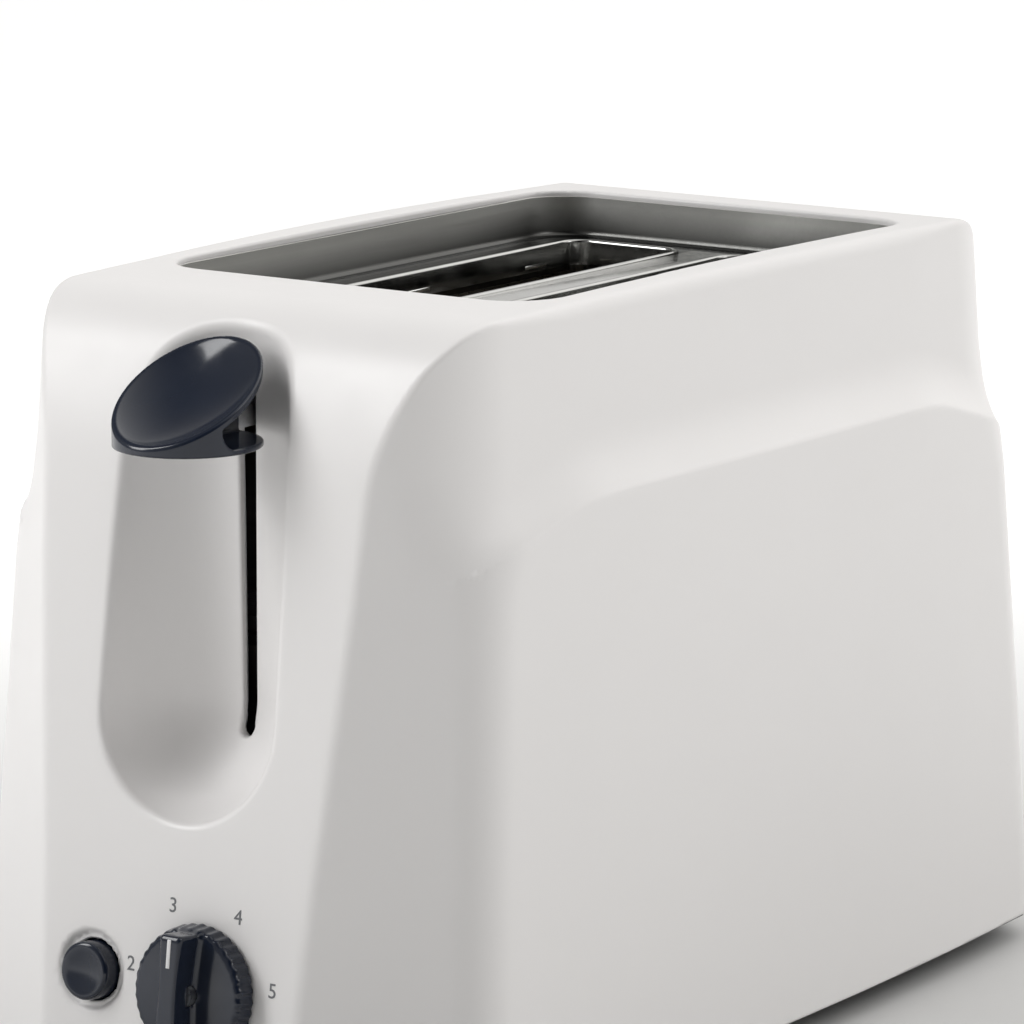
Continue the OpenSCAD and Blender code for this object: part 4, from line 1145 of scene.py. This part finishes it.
handle_grid = planes((-39, 39, 0.8)), planes((130, 146, 0.5)), planes((7.5, 18, 0.5))
points, quads, normals = sculpt(handle_field, *handle_grid)
build("tray_pull", points, quads, DARK_BASE, "tray", ["tray_handle"], "dark_base", normals)


# -------- floor, light and camera

FLOOR_R = 6
GLOW_START, GLOW_FULL, GLOW = 0.2, 0.55, 0.5  # the floor brightens with distance, like a lit sweep
floor_mesh = bpy.data.meshes.new("floor")
floor_shape = bmesh.new()
bmesh.ops.create_circle(floor_shape, cap_ends=True, radius=FLOOR_R, segments=96)
floor_shape.to_mesh(floor_mesh)
floor_shape.free()
floor = bpy.data.objects.new("floor", floor_mesh)
bpy.context.scene.collection.objects.link(floor)
pale = Nodes("pale_floor")
pale_tones = [(0.3, (0.61, 0.61, 0.605)), (0.7, (0.63, 0.63, 0.625))]
pale_colour = pale.ramp(pale.noise(pale.coordinates(), 3), pale_tones)
pale.set(Emission_Color=(1, 1, 1, 1))
away = pale.add("ShaderNodeVectorMath", operation="LENGTH")
pale.link(pale.coordinates(), away.inputs[0])
sweep = pale.span(away.outputs["Value"], 0.0, GLOW, GLOW_START, GLOW_FULL)
pale.link(sweep, pale.shader.inputs["Emission Strength"])
pale_rough = pale.span(pale.noise(pale.coordinates(), 40), 0.6, 0.7)
floor_mesh.materials.append(pale.finish(pale_colour, pale_rough))

VIEW_AZ, VIEW_EL = math.radians(35.08), math.radians(11)
LENS, SENSOR = 193.4, 36
CAMERA_PLACE = (0.7145, -1.0225, 0.3585)
camera_data = bpy.data.cameras.new("camera")
camera_data.lens = LENS
camera_data.sensor_width = SENSOR
camera = bpy.data.objects.new("camera", camera_data)
camera.location = CAMERA_PLACE
camera.rotation_euler = (math.pi / 2 - VIEW_EL, 0, VIEW_AZ)
camera_data.clip_start, camera_data.clip_end = 0.05, 30
bpy.context.scene.collection.objects.link(camera)
bpy.context.scene.camera = camera


def compass(azimuth, elevation):
    """Unit vector towards a light; azimuth 0 is the lever end's side and 90 the right side."""
    a, e = math.radians(azimuth), math.radians(elevation)
    return (math.sin(a) * math.cos(e), -math.cos(a) * math.cos(e), math.sin(e))


def studio_sky(base, lobes):
    """Soft light from all round: a base, and broad lobes of (direction, strength, where it starts)."""
    world = bpy.data.worlds.new("studio")
    bpy.context.scene.world = world
    world.use_nodes = True
    tree = world.node_tree
    direction = tree.nodes.new("ShaderNodeTexCoord").outputs["Generated"]
    total = None
    for towards, strength, start in lobes:
        dot = tree.nodes.new("ShaderNodeVectorMath")
        dot.operation = "DOT_PRODUCT"
        tree.links.new(direction, dot.inputs[0])
        dot.inputs[1].default_value = towards
        lobe = tree.nodes.new("ShaderNodeMapRange")
        lobe.interpolation_type = "SMOOTHSTEP"
        lobe.inputs["From Min"].default_value = start
        lobe.inputs["From Max"].default_value = 1.0
        lobe.inputs["To Min"].default_value = 0.0
        lobe.inputs["To Max"].default_value = strength
        tree.links.new(dot.outputs["Value"], lobe.inputs["Value"])
        add = tree.nodes.new("ShaderNodeMath")
        add.operation = "ADD"
        tree.links.new(lobe.outputs["Result"], add.inputs[0])
        if total is None:
            add.inputs[1].default_value = base
        else:
            tree.links.new(total, add.inputs[1])
        total = add.outputs["Value"]
    background = tree.nodes["Background"]
    background.inputs["Color"].default_value = (1.0, 0.99, 0.975, 1)
    tree.links.new(total, background.inputs["Strength"])


studio_sky(0.0, [
    (compass(140, 50), 1.41, 0.45),
    (compass(180, 15), 0.74, 0.25),
    (compass(-45, 15), 0.40, 0.25),
])


LAMP_DISTANCE = 1.6
LIT_POINT = Vector((0, 0, 0.11))


def softbox(name, towards, size, power):
    """A soft rectangular lamp aimed at the middle of the toaster."""
    light = bpy.data.lights.new(name, "AREA")
    light.shape = "RECTANGLE"
    light.size, light.size_y = size
    light.energy = power
    lamp = bpy.data.objects.new(name, light)
    lamp.location = LIT_POINT + Vector(towards) * LAMP_DISTANCE
    lamp.rotation_euler = (-Vector(towards)).to_track_quat("-Z", "Y").to_euler()
    bpy.context.scene.collection.objects.link(lamp)


softbox("left_softbox", compass(-48, 42), (0.5, 0.9), 10.8)
softbox("front_softbox", compass(-42, 22), (0.5, 0.5), 3.6)
softbox("right_softbox", compass(100, 35), (0.5, 0.5), 1.8)

bpy.context.scene.view_settings.view_transform = "Standard"
